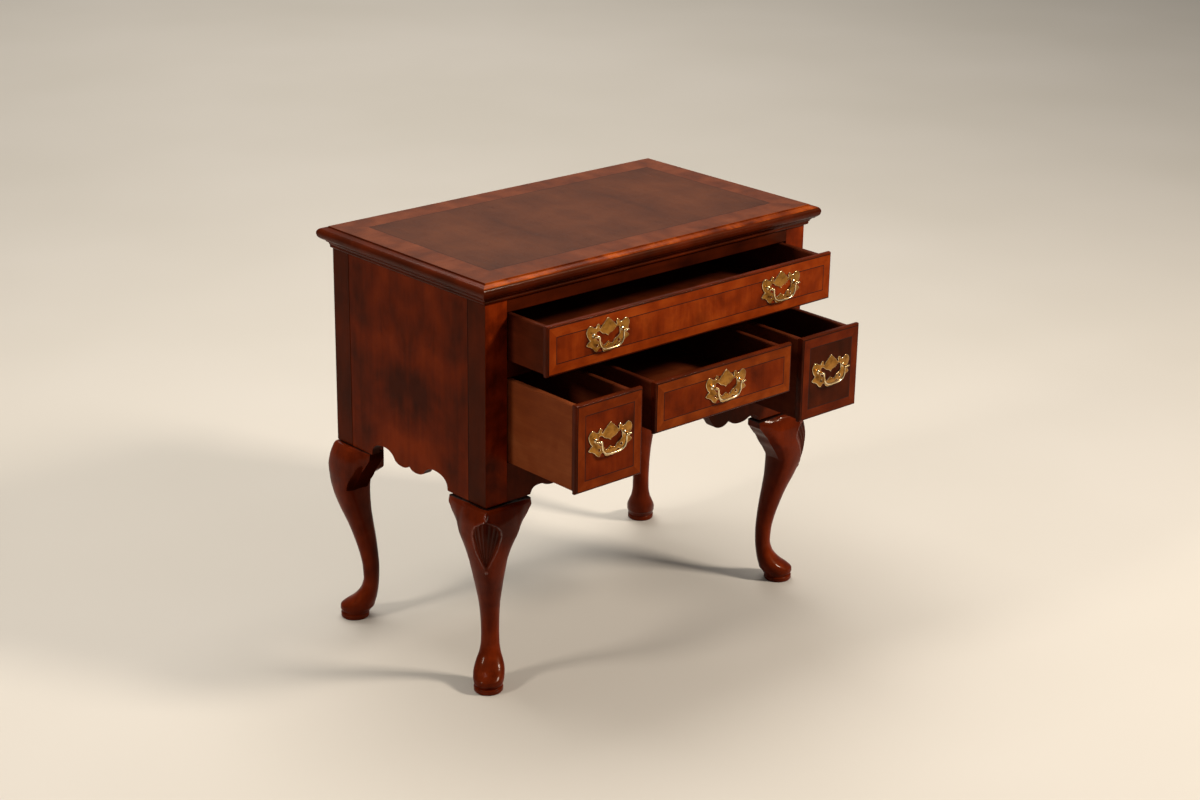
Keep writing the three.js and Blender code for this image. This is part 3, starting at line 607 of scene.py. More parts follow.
# Drawers and their openings, as in the model
DRAWER_SIDE_GAP = 0.003
LIP_REACH = 0.0052
LIP_TOP_REACH = 0.003
DIVIDER_OUTER = -(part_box("left_drawer_front")[1].x - LIP_REACH)
CENTRE_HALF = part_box("centre_drawer_front")[1].x - LIP_REACH
APRON_HEIGHT = 0.067


def make_panels():
    """Side panels with dark joints at the posts. The cut lower edge has the posts' darker wood, partly
    painted shade under the case.
    """
    post_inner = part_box("front_post_left")[1].y
    post_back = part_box("rear_post_left")[0].y
    half_span = (BACK_Y - FRONT_Y) / 2 - BLOCK_LENGTH
    half = traced(SIDE_SCALLOP_SHARES, half_span, SIDE_SCALLOP_RISE)
    lower = np.concatenate([mirrored(half), half[1:]]) + (CASE_MIDDLE_Y, LEG_TOP)

    def outline(inset):
        front, back = post_inner + inset, post_back - inset
        return [(front, LEG_TOP), *lower, (back, LEG_TOP), (back, BOARD_BOTTOM), (front, BOARD_BOTTOM)]

    for name in ("side_panel_left", "side_panel_right"):
        low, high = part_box(name)
        outer, inner = (low.x, high.x) if low.x < 0 else (high.x, low.x)
        step = math.copysign(JOINT_DEPTH, inner - outer)
        rows = [(outer, JOINT_WIDTH), (outer + step, 0), (inner, 0)]
        rings = [[(x, a, b) for a, b in outline(inset)] for x, inset in rows]
        # The cut lower edge takes the darker post wood, partly painted shade under the case
        cut_edge = [2] * (len(rings[0]) - 4)
        kinds = [*cut_edge, 1, 1, 0, 1, *cut_edge, 0, 0, 0, 0, 0, 0]
        materials = [side_wood, dark_lines_and_painted_shade, post_wood]
        loft_piece(f"{name}_wood", rings, materials, [name], kinds)


def make_apron():
    post_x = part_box("front_post_left")[1].x
    divider_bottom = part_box("divider_left")[0].z
    arch = traced(ARCH_SHARES, CENTRE_HALF, ARCH_RISE)
    lobes = traced(LOBE_SHARES, CASE_X - BLOCK_LENGTH - CENTRE_HALF, LOBE_RISE) + (CENTRE_HALF, 0)
    half = np.concatenate([arch[:-1], lobes]) + (0, LEG_TOP)
    low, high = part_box("front_apron")
    deep_floor = LEG_TOP + APRON_HEIGHT
    upper = np.array([
        (-post_x, LEG_TOP), (-post_x, deep_floor), (DIVIDER_OUTER, deep_floor),
        (DIVIDER_OUTER, divider_bottom), (CENTRE_HALF, divider_bottom), (CENTRE_HALF, high.z),
    ])
    right = np.concatenate([half[1:], upper])
    outline = [tuple(half[0]), *right, *mirrored(right)]
    rings = [[(x, y, z) for x, z in outline] for y in (low.y, high.y)]
    loft_piece("front_apron_wood", rings, [apron_wood], ["front_apron"],
               rounding=EDGE_ROUNDING)


# Legs: shares of the height, then of the stock for the front, back and half width, then how round
# the outer and the inner half of the section are, from 1 for a diamond to 2 for a circle

LEG_SHARES = [
    (1, 0.25, -0.7, 0.455, 1.2, 1.04), (0.997, 0.3, -0.71, 0.49, 1.2, 1.04),
    (0.963, 0.395, -0.71, 0.55, 1.21, 1.04), (0.905, 0.47, -0.71, 0.585, 1.23, 1.04),
    (0.861, 0.494, -0.705, 0.585, 1.26, 1.06), (0.843, 0.492, -0.622, 0.565, 1.28, 1.1),
    (0.817, 0.48, -0.47, 0.51, 1.33, 1.2), (0.778, 0.462, -0.41, 0.455, 1.4, 1.34),
    (0.722, 0.41, -0.4, 0.402, 1.48, 1.46), (0.626, 0.265, -0.415, 0.33, 1.6, 1.6),
    (0.542, 0.106, -0.456, 0.275, 1.75, 1.75), (0.452, -0.031, -0.506, 0.222, 1.9, 1.9),
    (0.361, -0.144, -0.544, 0.197, 2, 2), (0.286, -0.2, -0.562, 0.19, 2, 2),
    (0.226, -0.212, -0.555, 0.194, 2, 2), (0.175, -0.16, -0.537, 0.225, 2, 2),
    (0.136, -0.05, -0.512, 0.28, 2, 2), (0.108, 0.075, -0.487, 0.314, 2, 2),
    (0.085, 0.22, -0.458, 0.327, 2, 2), (0.066, 0.305, -0.437, 0.325, 2, 2),
    (0.051, 0.31, -0.38, 0.315, 2, 2), (0.033, 0.27, -0.33, 0.29, 2, 2),
    (0.028, 0.265, -0.31, 0.285, 2, 2), (0.024, 0.3, -0.32, 0.305, 2, 2),
    (0.008, 0.3, -0.32, 0.305, 2, 2), (0, 0.28, -0.3, 0.285, 2, 2),
]
LEG_STOCK = 0.08
SECTION_POINTS = 360
OUTER_HEADING = math.radians(225)
OUTER_LIMIT = -0.9
CARVED_ANGLE = math.radians(33)
CARVED_RAYS = 125
LEG_RAYS = 121
CARVED_LEVELS = 121
PLAIN_LEVELS = 61
LEVEL_GAP = 0.002
TINY = 1e-15
LEEWAY = 1e-9

# Knee brackets beside a leg: metres below the leg top, then their length from the case corner
BRACKET_REACH = [
    (0, 0.093), (0.011, 0.093), (0.018, 0.0885), (0.028, 0.082), (0.0385, 0.0735), (0.0537, 0.0645),
    (0.0656, 0.0555), (0.078, 0.0475), (0.09, 0.04), (0.104, 0.03), (0.125, 0.012),
]
# Shares of the way from the knee's side corner to that end, then of how far the corner stands proud
BRACKET_FALL = [(0, 1), (0.2, 0.97), (0.4, 0.86), (0.6, 0.68), (0.8, 0.46), (1, 0.25)]
BRACKET_RISE = 0.0006
BRACKET_FRONT = 0.6
BRACKET_DEPTH = 0.027
BRACKET_FOOT = 0.125
BRACKET_LEAST = 0.004
BRACKET_POINTS = 41
BRACKET_SOFTNESS = 5
BRACKET_SHADED = -0.45

# Seam over a leg: its height at the leg, at the bracket's end, and how far the painted shade of the seam
# comes down
FRONT_SEAM = (0.0009, 0.0045, 0.0016)
REAR_SEAM = (0.0004, 0.0009, 0.0007)
SEAM_FADE = 0.05

# Places in a leg's list of materials
PLAIN_FACE, SEAM_SHADE_FACE, BUD_FACE, SHADED_FACE = range(4)

# Shell, bud and drop on a front knee
SHELL_FLUTES = 8
SHELL_SPREAD = 0.38
SHELL_TIP = 0.006
SHELL_DEPTH = 0.0016
SHELL_SLOPE = 0.004
SHELL_LEAST = 0.3
SHELL_NARROW = 0.006
FLUTE_POWER = 0.8
RIM_RISE = 0.0006
RIM_WIDTH = 0.0014
RIM_NARROW = 0.004
CROWN_RISE = 1.8
CROWN_END = 0.034
CROWN_FADE = 0.012
BUD_DOWN = 0.0098
BUD_HALF = (0.0036, 0.0068)
BUD_RISE = 0.0042
DROP_DOWN = 0.1085
DROP_HALF = (0.0028, 0.0036)
DROP_RISE = 0.0012
POLISHED_RISE = 0.0004
SLOPE_STEP = 0.001


def smooth_step(values):
    t = np.clip(values, 0, 1)
    return t * t * (3 - 2 * t)


def dome(across, down, middle, half, rise):
    """A rounded button standing on the surface."""
    away = (across / half[0]) ** 2 + ((down - middle) / half[1]) ** 2
    return rise * np.sqrt(np.clip(1 - away, 0, 1))


def carving(across, down):
    """How far the carved surface stands above the plain knee."""
    rows = np.array(SHELL_ROWS)
    near = [down - SLOPE_STEP, down, down + SLOPE_STEP]
    below, half, above = np.interp(near, rows[:, 0], rows[:, 1], left=0, right=0)
    away = (np.abs(across) - half) / math.hypot(1, (above - below) / (2 * SLOPE_STEP))
    within = (half > 0) * smooth_step(-away / SHELL_SLOPE)
    fan = across / max(rows[-1, 0] + SHELL_TIP - down, SHELL_TIP) / SHELL_SPREAD
    flute = np.abs(np.cos(fan * SHELL_FLUTES * math.pi / 2)) ** FLUTE_POWER
    depth = SHELL_LEAST + (1 - SHELL_LEAST) * flute
    depth = -SHELL_DEPTH * within * depth * smooth_step(half / SHELL_NARROW)
    rim = RIM_RISE * np.exp(-((away / RIM_WIDTH) ** 2)) * smooth_step(half / RIM_NARROW)
    rim = rim * (1 + CROWN_RISE * smooth_step((CROWN_END - down) / CROWN_FADE))
    return (depth + rim + dome(across, down, BUD_DOWN, BUD_HALF, BUD_RISE)
            + dome(across, down, DROP_DOWN, DROP_HALF, DROP_RISE))


def reach_of(outline, centre, headings):
    """How far a closed outline lies from a point inside it, in each heading."""
    start = outline - centre
    side = np.roll(start, -1, 0) - start
    u, v = headings[:, :1], headings[:, 1:]
    cross = u * side[:, 1] - v * side[:, 0]
    cross = np.where(np.abs(cross) < TINY, TINY, cross)
    away = (start[:, 0] * side[:, 1] - start[:, 1] * side[:, 0]) / cross
    along = (start[:, 0] * v - start[:, 1] * u) / cross
    return np.where((along >= -LEEWAY) & (along <= 1 + LEEWAY) & (away > 0), away, 0).max(1)


def leg_headings(carved):
    """Directions round a leg, closer together over the carving on its outer corner."""
    fine = CARVED_ANGLE if carved else 0
    front = np.linspace(-fine, fine, CARVED_RAYS)[:-1] if carved else np.array([])
    rest = np.linspace(fine, 2 * math.pi - fine, LEG_RAYS)[:-1]
    turns = np.concatenate([front, rest]) + OUTER_HEADING
    return np.stack([np.cos(turns), np.sin(turns)], 1)


def leg_levels(carved):
    """Rows of the leg's sections from the top down."""
    knee = np.linspace(1, 1 - BRACKET_FOOT / LEG_TOP, CARVED_LEVELS if carved else PLAIN_LEVELS)
    smooth = eased(LEG_SHARES, 8)
    below = smooth[smooth[:, 0] < knee[-1] - LEVEL_GAP]
    near = [np.interp(-knee, -smooth[:, 0], column) for column in smooth[:, 1:].T]
    return np.concatenate([np.stack([knee, *near], 1), below])


def leg_section(out, inner, half, outer_round, inner_round, inset):
    """Plan of a leg at one level, and a point in its middle. u is inwards along X, and v inwards along Y."""
    turns = full_turn(SECTION_POINTS)
    cosine, sine = np.cos(turns), np.sin(turns)
    power = np.where(cosine > 0, 2 / outer_round, 2 / inner_round)
    centre = (out + inner) / 2
    along = (centre + np.sign(cosine) * np.abs(cosine) ** power * (out - inner) / 2) * LEG_STOCK
    across = np.sign(sine) * np.abs(sine) ** power * half * LEG_STOCK
    u = PAD_INSET_SIDE - (along + across) / math.sqrt(2)
    v = inset - (along - across) / math.sqrt(2)
    middle = centre * LEG_STOCK / math.sqrt(2)
    return np.stack([u, v], 1), np.array([PAD_INSET_SIDE - middle, inset - middle])


def bracket(edge, length):
    """Plan of a knee bracket along v. It follows the knee from its widest point and then falls to its end."""
    widest, turn = edge[0], edge[-1]
    away = np.linspace(widest[1], length, BRACKET_POINTS)
    falls = eased(BRACKET_FALL, 4)
    corner = min(turn[0], BRACKET_FRONT * widest[0])
    beyond = corner * np.interp((away - turn[1]) / (length - turn[1]), falls[:, 0], falls[:, 1])
    face = np.where(away < turn[1], np.interp(away, edge[:, 1], np.minimum(edge[:, 0], corner)), beyond)
    soft = np.hanning(2 * BRACKET_SOFTNESS + 1)
    face = np.convolve(np.pad(face, BRACKET_SOFTNESS, "edge"), soft / soft.sum(), "valid")
    face -= BRACKET_RISE * np.interp(away, [widest[1], turn[1], length], [0, 1, 0])
    back = [(BRACKET_DEPTH, length), (BRACKET_DEPTH, widest[1])]
    return np.concatenate([np.stack([face, away], 1), back])


def capped(rings, marks, shade):
    """A closed form through rings from the top down, with painted shade on its top and over its upper edge,
    where the seam under the case lies in shade.

    Marks tell, for each ring, which of its points lie on the bud, the rim or the drop.
    """
    count = len(rings[0])
    lip = rings[0] - (0, 0, shade)
    kept = [i for i, ring in enumerate(rings) if i and ring[:, 2].max() < lip[:, 2].min() - shade / 4]
    marks = [marks[0]] + [marks[i] for i in kept]
    rings = [rings[0], lip] + [rings[i] for i in kept]
    heart = rings[0].mean(0)
    vertices, faces = loft(rings)
    faces = faces[:-2] + [(i, (i + 1) % count, len(vertices)) for i in range(count)] + faces[-1:]
    # Painted shade on the seam's faces
    kinds = [SEAM_SHADE_FACE] * count
    for above, below in zip(marks, marks[1:]):
        kinds += list(np.where(above & below, BUD_FACE, PLAIN_FACE))
    kinds += [SEAM_SHADE_FACE] * count + [PLAIN_FACE]
    return vertices + [heart], faces, kinds


def make_leg(name, side_x, side_y):
    """A leg with its brackets, worked out in plan from the corner of the case."""
    carved = side_y < 0
    inset = PAD_INSET_FRONT if carved else PAD_INSET_BACK
    seam_start, seam_end, shade = FRONT_SEAM if carved else REAR_SEAM
    headings = leg_headings(carved)
    outwards = headings.sum(1) < OUTER_LIMIT
    reaches = eased(BRACKET_REACH, 6)
    longest = reaches[0, 1]
    quarter = SECTION_POINTS // 4

    def placed(plan, level, down):
        share = np.clip(2 * plan.max(1) / longest - 1, 0, 1)
        seam = seam_start + (seam_end - seam_start) * share
        z = level * LEG_TOP - seam * smooth_step(1 - down / SEAM_FADE)
        y = FRONT_Y + plan[:, 1] if carved else BACK_Y - plan[:, 1]
        return np.stack([side_x * (CASE_X - plan[:, 0]), y, z], 1)

    rings, raised = [], []
    arms = [[] for _ in range(2 if carved else 1)]
    for level, *shares in leg_levels(carved):
        section, centre = leg_section(*shares, inset)
        plan = centre + reach_of(section, centre, headings)[:, None] * headings
        down = (1 - level) * LEG_TOP
        relief = np.zeros(len(headings))
        if carved:
            offset = (plan[:, 0] - plan[:, 1] - PAD_INSET_SIDE + inset) / math.sqrt(2)
            relief = carving(offset, down) * outwards
        rings.append(placed(plan + relief[:, None] * headings, level, down))
        raised.append(relief > POLISHED_RISE)
        length = np.interp(down, reaches[:, 0], reaches[:, 1])
        for index, arm in enumerate(arms):
            side = section[:quarter + 1] if index == 0 else section[:3 * quarter - 1:-1, ::-1]
            edge = side[side[:, 0].argmin():]
            if length > edge[-1, 1] + BRACKET_LEAST:
                shape = bracket(edge, length)
                arm.append(placed(shape if index == 0 else shape[:, ::-1], level, down))
    vertices, faces, kinds = [], [], []
    for form in (rings, *arms):
        marks = raised if form is rings else [np.zeros(len(ring), bool) for ring in form]
        points, sides, woods = capped(form, marks, shade)
        # On the rear legs the brackets' faces that turn to the front take the darker copy of the leg wood:
        # painted shade under the case
        if form is not rings and not carved:
            woods = [SHADED_FACE if kind == PLAIN_FACE else kind for kind in woods]
        faces += [tuple(i + len(vertices) for i in side) for side in sides]
        vertices += points
        kinds += woods
    materials = [knee_wood_painted_shade if carved else leg_wood, dark_lines_and_painted_shade, bud_wood, rear_bracket_painted_shade]
    mesh = to_mesh(f"leg_{name}_wood", vertices, faces, materials, kinds)
    for polygon in mesh.polygons:
        if polygon.material_index == SHADED_FACE and polygon.normal.y > BRACKET_SHADED:
            polygon.material_index = PLAIN_FACE
    nodes = [f"leg_{name}", f"knee_block_{name}_side"] + [f"knee_block_{name}_front"] * carved
    piece(f"leg_{name}_wood", mesh, nodes)


def make_legs():
    for end, side_y in (("front", -1), ("rear", 1)):
        for hand, side_x in HANDS:
            make_leg(f"{end}_{hand}", side_x, side_y)


# Drawer fronts: shares of the lip edge's width, inwards, and of the lip's thickness, forwards

LIP_SHARES = [(0, 0.3), (0, 0.45), (0.12, 0.68), (0.4, 0.86), (0.84, 0.92)]
LIP_EDGE = 0.0035
LIP_THICKNESS = 0.0085
LINE_INSET_SIDE = 0.0182
LINE_INSET_TOP = 0.0193
LINE_INSET_BOTTOM = 0.0186
BODY_TOP_GAP = 0.002
QUIRK_SHARES = (1.05, 1.1)


def make_front(name):
    node = f"{name}_front"
    low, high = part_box(node)
    seat = low.y + LIP_THICKNESS

    def ring(y, left, right, bottom, top):
        return [(low.x + left, y, low.z + bottom), (high.x - right, y, low.z + bottom),
                (high.x - right, y, high.z - top), (low.x + left, y, high.z - top)]

    def even(inset, y):
        return ring(y, inset, inset, inset, inset)

    body = (LIP_REACH + DRAWER_SIDE_GAP, LIP_REACH + DRAWER_SIDE_GAP, 0, LIP_TOP_REACH + BODY_TOP_GAP)
    rings = [ring(high.y, *body), ring(seat, *body), even(0, seat)]
    rings += [even(inset * LIP_EDGE, seat - out * LIP_THICKNESS) for inset, out in rounded(LIP_SHARES, 4)]
    lip_rows = len(rings)
    quirk = seat - LIP_SHARES[-1][1] * LIP_THICKNESS
    rings += [even(LIP_EDGE * QUIRK_SHARES[0], quirk), even(LIP_EDGE * QUIRK_SHARES[1], low.y)]
    insets = (LINE_INSET_SIDE, LINE_INSET_SIDE, LINE_INSET_BOTTOM, LINE_INSET_TOP)
    rings += [ring(low.y, *insets), ring(low.y, *(inset + LINE_WIDTH for inset in insets))]
    # The lip's quirk takes the dark colour
    kinds = []
    for r in range(len(rings) - 1):
        if r < lip_rows - 1:
            kinds += [0] * 4
        elif r < lip_rows + 1:
            kinds += [1] * 4
        elif r == lip_rows + 1:
            kinds += [2, 3, 2, 3]
        else:
            kinds += [4] * 4
    kinds += [0, 5]
    materials = [walnut[X], dark_lines_and_painted_shade, bands_upright[name], bands_level[name], line_dark, fields[name]]
    loft_piece(f"{node}_wood", rings, materials, [node], kinds)


def make_drawer(name):
    make_front(name)
    for part in ("side_left", "side_right", "back"):
        # Painted light: the left drawer's outer left side takes a lighter copy of the drawer side wood
        pale = (name, part) == ("left_drawer", "side_left")
        softened(f"{name}_{part}", pale_side_painted_light if pale else side_board_wood)
    softened(f"{name}_bottom", bottom_wood, 0)


# Pulls: shares of half a plate's width, outwards and upwards

PLATE_SHARES = [
    (0, 0.73), (0.18, 0.58), (0.2, 0.54), (0.26, 0.52), (0.29, 0.47), (0.37, 0.38),
    (0.4, 0.43), (0.35, 0.5, 0.395, 0.545), (0.45, 0.59, 0.505, 0.545), (0.55, 0.5, 0.53, 0.45),
    (0.6, 0.45), (0.68, 0.47, 0.73, 0.53),
    (0.84, 0.6, 0.94, 0.49), (1.02, 0.38, 0.98, 0.27), (0.94, 0.12, 0.83, 0.03), (0.92, -0.02),
    (1, -0.12), (0.93, -0.2, 0.84, -0.21), (0.72, -0.28), (0.65, -0.36),
    (0.56, -0.46, 0.48, -0.44), (0.42, -0.34, 0.36, -0.33), (0.28, -0.36, 0.24, -0.45),
    (0.12, -0.54, 0, -0.49),
]
PIERCING_SHARES = [
    (0, 0.05), (0.06, 0.13, 0.16, 0.15), (0.26, 0.16, 0.36, 0.27), (0.42, 0.31, 0.5, 0.29), (0.54, 0.16),
    (0.54, 0.04), (0.48, -0.04, 0.38, -0.08), (0.3, -0.1, 0.27, -0.15), (0.22, -0.26, 0.17, -0.24),
    (0.08, -0.19, 0, -0.13),
]
EYELET_SHARES = (0.5, -0.2, 0.045)
EYELET_SIDES = 16
PLATE_HALF = 0.0457
PLATE_THICKNESS = 0.0016
PLATE_BEVEL = 0.00075
PULL_RISE = 0.0083
POST_SPACING = 0.06
POST_STANDOFF = 0.0105
HEAD_RADIUS = 0.0027
NECK_RADIUS = 0.0019
COLLAR_RADIUS = 0.0042
COLLAR_THICKNESS = 0.0018
POST_SIDES = 28
SHANK_RADIUS = 0.0022
SHANK_END = 0.0015
SHANK_SIDES = 20
NUT_RADIUS = 0.0046
NUT_THICKNESS = 0.0032
NUT_SIDES = 6
BODY_THICKNESS = 0.011
PIN_RADIUS = 0.0012
PIN_BALL_RADIUS = 0.0016
ARM_RADIUS = 0.00135
GRIP_RADIUS = 0.0018
BAIL_DROP = 0.0235
SEAT_GAP = 0.0003
WIRE_SIDES = 16

# Shares of a collar's radius and of the plate's thickness
COLLAR_SHARES = [(0.6, 1.9), (0.92, 1.35), (1, 1)]
# Shares of the arm's radius: outwards, downwards and the wire's own radius
PIN_SHARES = [(0.6, 0.1, 0.95), (0.1, 0.8, 1)]
# Shares of the arm's reach, inwards, and of the bail's drop
BEND_SHARES = [(0.01, 0.3), (0.05, 0.56), (0.17, 0.79), (0.4, 0.94), (0.72, 0.995)]
BEND_START = (0.12, 1.05)
# First and last turn of the heads and of the pins' balls, and how many
HEAD_TURNS = (0.05, 2.4, 12)
BALL_TURNS = (0.15, 2.6, 9)


def circle(x, y, radius, sides):
    turns = full_turn(sides)
    return np.stack([x + radius * np.cos(turns), y + radius * np.sin(turns)], 1)


def sheet_metal(name, outlines, thickness, bevel):
    """A flat sheet cut to an outline with holes, with bevelled edges, upright with its back at y 0."""
    curve = bpy.data.curves.new(name, "CURVE")
    curve.dimensions = "2D"
    curve.fill_mode = "BOTH"
    curve.extrude = thickness / 2 - bevel
    curve.bevel_depth = bevel
    curve.bevel_resolution = 2
    curve.offset = -bevel
    for outline in outlines:
        spline = curve.splines.new("POLY")
        spline.points.add(len(outline) - 1)
        spline.points.foreach_set("co", [v for x, y in outline for v in (x, y, 0, 1)])
        spline.use_cyclic_u = True
    holder = in_scene(name, curve)
    mesh = bpy.data.meshes.new_from_object(holder.evaluated_get(bpy.context.evaluated_depsgraph_get()))
    bpy.data.objects.remove(holder)
    mesh.transform(Matrix.Translation((0, -thickness / 2, 0)) @ Matrix.Rotation(math.pi / 2, 4, "X"))
    work = bmesh.new()
    work.from_mesh(mesh)
    bmesh.ops.remove_doubles(work, verts=work.verts, dist=MERGE_DISTANCE)
    # Faces that do not face front or back, the bevelled edges, take the second material: a painted highlight
    # along them
    for face in work.faces:
        face.material_index = int(abs(face.normal.y) < FACES_FRONT)
    work.to_mesh(mesh)
    work.free()
    return mesh


def turned(profile, sides, centre):
    """Rings about an axis along Y, from rows of radius and how far forwards."""
    x, y, z = centre
    return [[(x + radius * math.cos(t), y - forward, z + radius * math.sin(t)) for t in full_turn(sides)]
            for radius, forward in profile]


def make_plate(node, body, x, face, z):
    def ring(shares):
        right = traced(shares, PLATE_HALF, PLATE_HALF, 8)
        return np.concatenate([right, mirrored(right)[1:-1]])

    out, up, radius = (share * PLATE_HALF for share in EYELET_SHARES)
    eyes = [circle(side * out, up, radius, EYELET_SIDES) for side in (-1, 1)]
    outlines = [ring(PLATE_SHARES), ring(PIERCING_SHARES), *eyes]
    mesh = sheet_metal(f"{node}_brass", outlines, PLATE_THICKNESS, PLATE_BEVEL)
    mesh.materials.append(brass_plate)
    mesh.materials.append(pale_brass_and_edge_highlight)
    mesh.transform(Matrix.Translation((x, face, z)))
    piece(f"{node}_brass", tidied(mesh), [node], body)
    for hand, side in HANDS:
        make_post(node, hand, body, (x + side * POST_SPACING / 2, face, z + PULL_RISE))


def make_post(node, hand, body, centre):
    """A post with its round head and collar, and inside the drawer its shank's end and its nut."""
    turns = np.linspace(*HEAD_TURNS)
    profile = [(HEAD_RADIUS * math.sin(t), POST_STANDOFF + HEAD_RADIUS * math.cos(t)) for t in turns]
    profile.append((NECK_RADIUS, PLATE_THICKNESS + COLLAR_THICKNESS))
    profile += [(COLLAR_RADIUS * out, PLATE_THICKNESS * rise) for out, rise in COLLAR_SHARES]
    rings = turned(profile, POST_SIDES, centre)
    loft_piece(f"{node}_post_{hand}_brass", rings, [pale_brass_and_edge_highlight], [node], body=body)
    inside = LIP_THICKNESS + BODY_THICKNESS
    nut = [(NUT_RADIUS, -inside - NUT_THICKNESS), (NUT_RADIUS, -inside)]
    shank = [(SHANK_RADIUS, -inside - NUT_THICKNESS - SHANK_END), (SHANK_RADIUS, -inside)]
    vertices, faces = loft(turned(nut, NUT_SIDES, centre))
    more, extra = loft(turned(shank, SHANK_SIDES, centre))
    faces = faces + [tuple(i + len(vertices) for i in f) for f in extra]
    title = f"{node}_nut_{hand}_brass"
    piece(title, to_mesh(title, vertices + more, faces, [brass_plate]), [node], body)


def other_side(rows):
    return [(-x, z, radius) for x, z, radius in reversed(rows)]


def make_bail(node, body, x, face, z):
    """A bent wire through rows of x, z and radius: ball, pin, arm and grip, then the other side."""
    post = POST_SPACING / 2
    ball_x = post + HEAD_RADIUS + SEAT_GAP + PIN_BALL_RADIUS
    arm = post - HEAD_RADIUS - SEAT_GAP - ARM_RADIUS
    turns = np.linspace(*BALL_TURNS)
    ball = [(ball_x + PIN_BALL_RADIUS * math.cos(t), 0, PIN_BALL_RADIUS * math.sin(t)) for t in turns]
    pins = [(arm + ARM_RADIUS, 0, PIN_RADIUS)]
    pins += [(arm + out * ARM_RADIUS, -down * ARM_RADIUS, ARM_RADIUS * size)
             for out, down, size in PIN_SHARES]
    pins = rounded(pins, 4)
    bends = [(arm, -BEND_START[0] * BAIL_DROP, ARM_RADIUS * BEND_START[1])]
    bends += [(arm * (1 - inwards), -down * BAIL_DROP, ARM_RADIUS + down * (GRIP_RADIUS - ARM_RADIUS))
              for inwards, down in BEND_SHARES]
    path = rounded([*bends, (0, -BAIL_DROP, GRIP_RADIUS), *other_side(bends)], 6)
    table = np.array([*ball, *pins, *path, *other_side(pins), *other_side(ball)])
    headings = np.gradient(table[:, :2], axis=0)
    headings /= np.linalg.norm(headings, axis=1)[:, None]
    turns = full_turn(WIRE_SIDES)
    height = face - POST_STANDOFF
    rings = []
    for (px, pz, radius), (hx, hz) in zip(table, headings):
        rings.append([(x + px - hz * radius * math.cos(t), height + radius * math.sin(t),
                       z + PULL_RISE + pz + hx * radius * math.cos(t)) for t in turns])
    loft_piece(f"{node}_brass", rings, [pale_brass_and_edge_highlight], [node], body=body)


def make_pulls():
    for name in BANDS:
        low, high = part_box(f"{name}_front")
        for mark in ("_left", "_right") if name == "long_drawer" else ("",):
            plate, bail = f"{name}_plate{mark}", f"{name}_bail{mark}"
            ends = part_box(plate)
            x = (ends[0].x + ends[1].x) / 2
            z = (low.z + high.z) / 2
            make_plate(plate, name, x, low.y, z)
            make_bail(bail, frame["nodes"][bail]["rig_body"], x, low.y, z)


def make_case_boards():
    for name in ("front_post_left", "front_post_right"):
        # The front posts' front faces take the lighter copy of the post wood: painted light on the faces the
        # lamps fall on
        softened(name, post_wood, front=post_face_painted_light)
    for name in ("rear_post_left", "rear_post_right"):
        softened(name, post_wood)
    # The rails' veneer is darkened in part as painted shade under the top and the drawers
    for name in ("top_rail", "middle_rail"):
        softened(name, rail_wood_and_painted_shade)
    for name in ("divider_left", "divider_right"):
        softened(name, post_wood)
    for name in ("back_panel", "long_drawer_runners", "left_drawer_runner", "right_drawer_runner",
                 "drawer_kicker"):
        softened(name, hidden_wood)


# Camera, floor and lights

FLOOR_HALF = 30
FLOOR_CLOUD = 0.9
FLOOR_PALE = ("#cbc5bb", "#d0cac1")
FLOOR_BOUNCE = "#8a6c4e"
FLOOR_ROUGHNESS = 0.7
WORLD_COLOUR = "#ece8e2"
WORLD_STRENGTH = 0.2
MIDDLE = (0, 0, 0.4)

# Name, place, target, width and height, power, colour
LAMPS = [
    ("key", (2.0, -3.0, 3.0), MIDDLE, (0.7, 0.7), 165, "#fff3e4"),
    ("fill", (-3.3, 0.5, 2.4), MIDDLE, (0.6, 0.6), 48, "#fff5e8"),
    ("overhead", (0.2, 1.0, 3.4), MIDDLE, (2.4, 2.0), 90, "#fffaf2"),
    ("far", (2.6, 4.6, 4.0), (3.2, 6, 0), (4.0, 4.0), 140, "#fffaf2"),
]


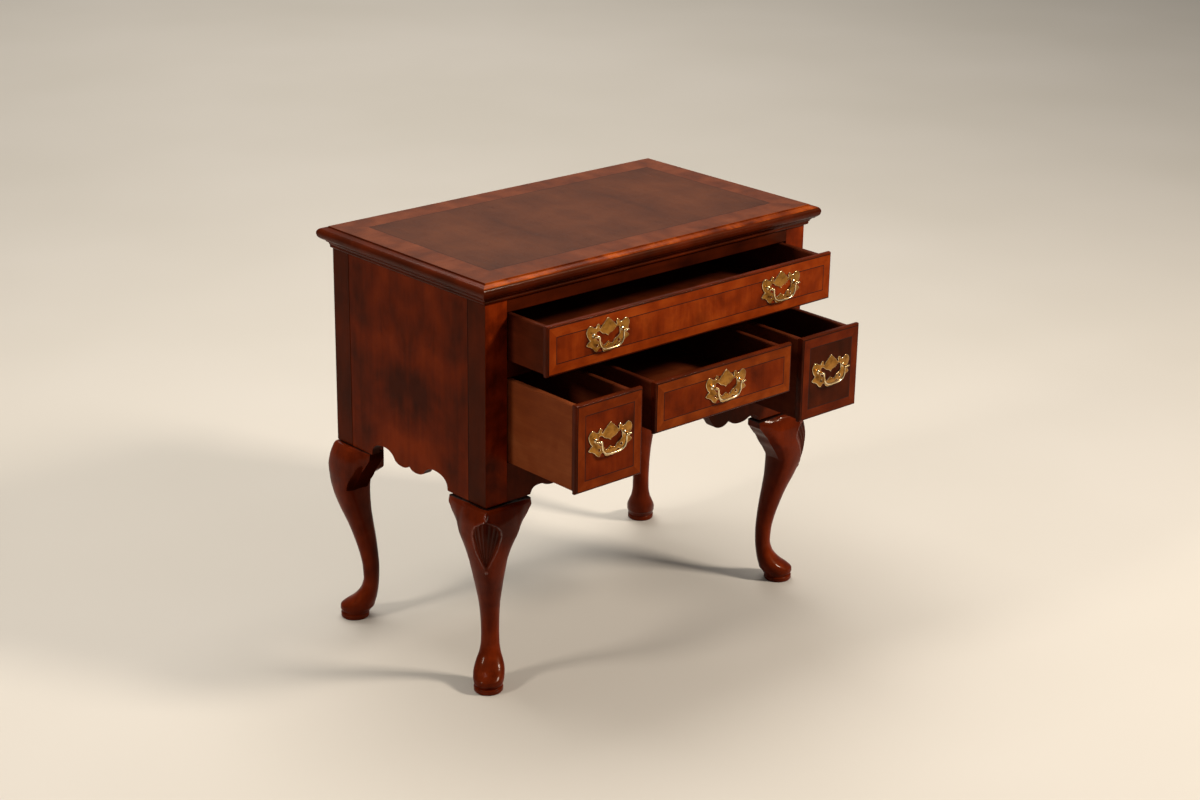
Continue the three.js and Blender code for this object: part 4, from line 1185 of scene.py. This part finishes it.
def make_camera():
    a, e, roll = CAMERA_AZIMUTH, CAMERA_ELEVATION, CAMERA_ROLL
    right = Vector((math.cos(a), math.sin(a), 0))
    forward = Vector((-math.sin(a) * math.cos(e), math.cos(a) * math.cos(e), -math.sin(e)))
    up = right.cross(forward)
    across = math.cos(roll) * right + math.sin(roll) * up
    upright = -math.sin(roll) * right + math.cos(roll) * up
    camera = in_scene("camera", bpy.data.cameras.new("camera"))
    camera.data.lens = CAMERA_LENS
    camera.data.sensor_width = CAMERA_SENSOR
    turn = Matrix((across, upright, -forward)).transposed().to_4x4()
    camera.matrix_world = Matrix.Translation(CAMERA_PLACE) @ turn
    bpy.context.scene.camera = camera


def make_floor():
    """A plain floor that is pale to look at. The light that it throws back is that of a brown floor."""
    s = Shader("floor")
    cloud = s.noise(s.stretch(s.place(), [FLOOR_CLOUD] * 3), detail=2)
    pale = s.ramp(cloud, list(zip(NOISE_RANGE, FLOOR_PALE)))
    rays = s.add("LightPath", {}).node.outputs
    seen = s.math("MAXIMUM", rays["Is Camera Ray"], rays["Is Glossy Ray"])
    seen = s.math("MAXIMUM", seen, rays["Is Transmission Ray"])
    colour = s.mix(seen, linear(FLOOR_BOUNCE), pale)
    s.feed(s.surface, {"Base Color": colour, "Roughness": FLOOR_ROUGHNESS})
    corners = [(x * FLOOR_HALF, y * FLOOR_HALF, 0) for x, y in ((-1, -1), (1, -1), (1, 1), (-1, 1))]
    mesh = bpy.data.meshes.new("floor")
    mesh.from_pydata(corners, [], [(0, 1, 2, 3)])
    mesh.materials.append(s.material)
    floor = in_scene("floor", mesh)


def make_lamp(name, place, target, size, power, colour):
    lamp = bpy.data.lights.new(name, "AREA")
    lamp.shape = "RECTANGLE"
    lamp.size, lamp.size_y = size
    lamp.energy = power
    lamp.color = linear(colour)[:3]
    item = in_scene(name, lamp)
    item.location = place
    item.rotation_euler = (Vector(target) - Vector(place)).to_track_quat("-Z", "Y").to_euler()


def make_light():
    world = bpy.data.worlds.new("world")
    world.use_nodes = True
    back = world.node_tree.nodes["Background"]
    back.inputs["Color"].default_value = linear(WORLD_COLOUR)
    back.inputs["Strength"].default_value = WORLD_STRENGTH
    bpy.context.scene.world = world
    for lamp in LAMPS:
        make_lamp(*lamp)


make_camera()
make_top()
make_moulding()
make_panels()
make_apron()
make_case_boards()
make_legs()
for drawer in BANDS:
    make_drawer(drawer)
make_pulls()
make_floor()
make_light()
bpy.context.scene.view_settings.view_transform = "Standard"
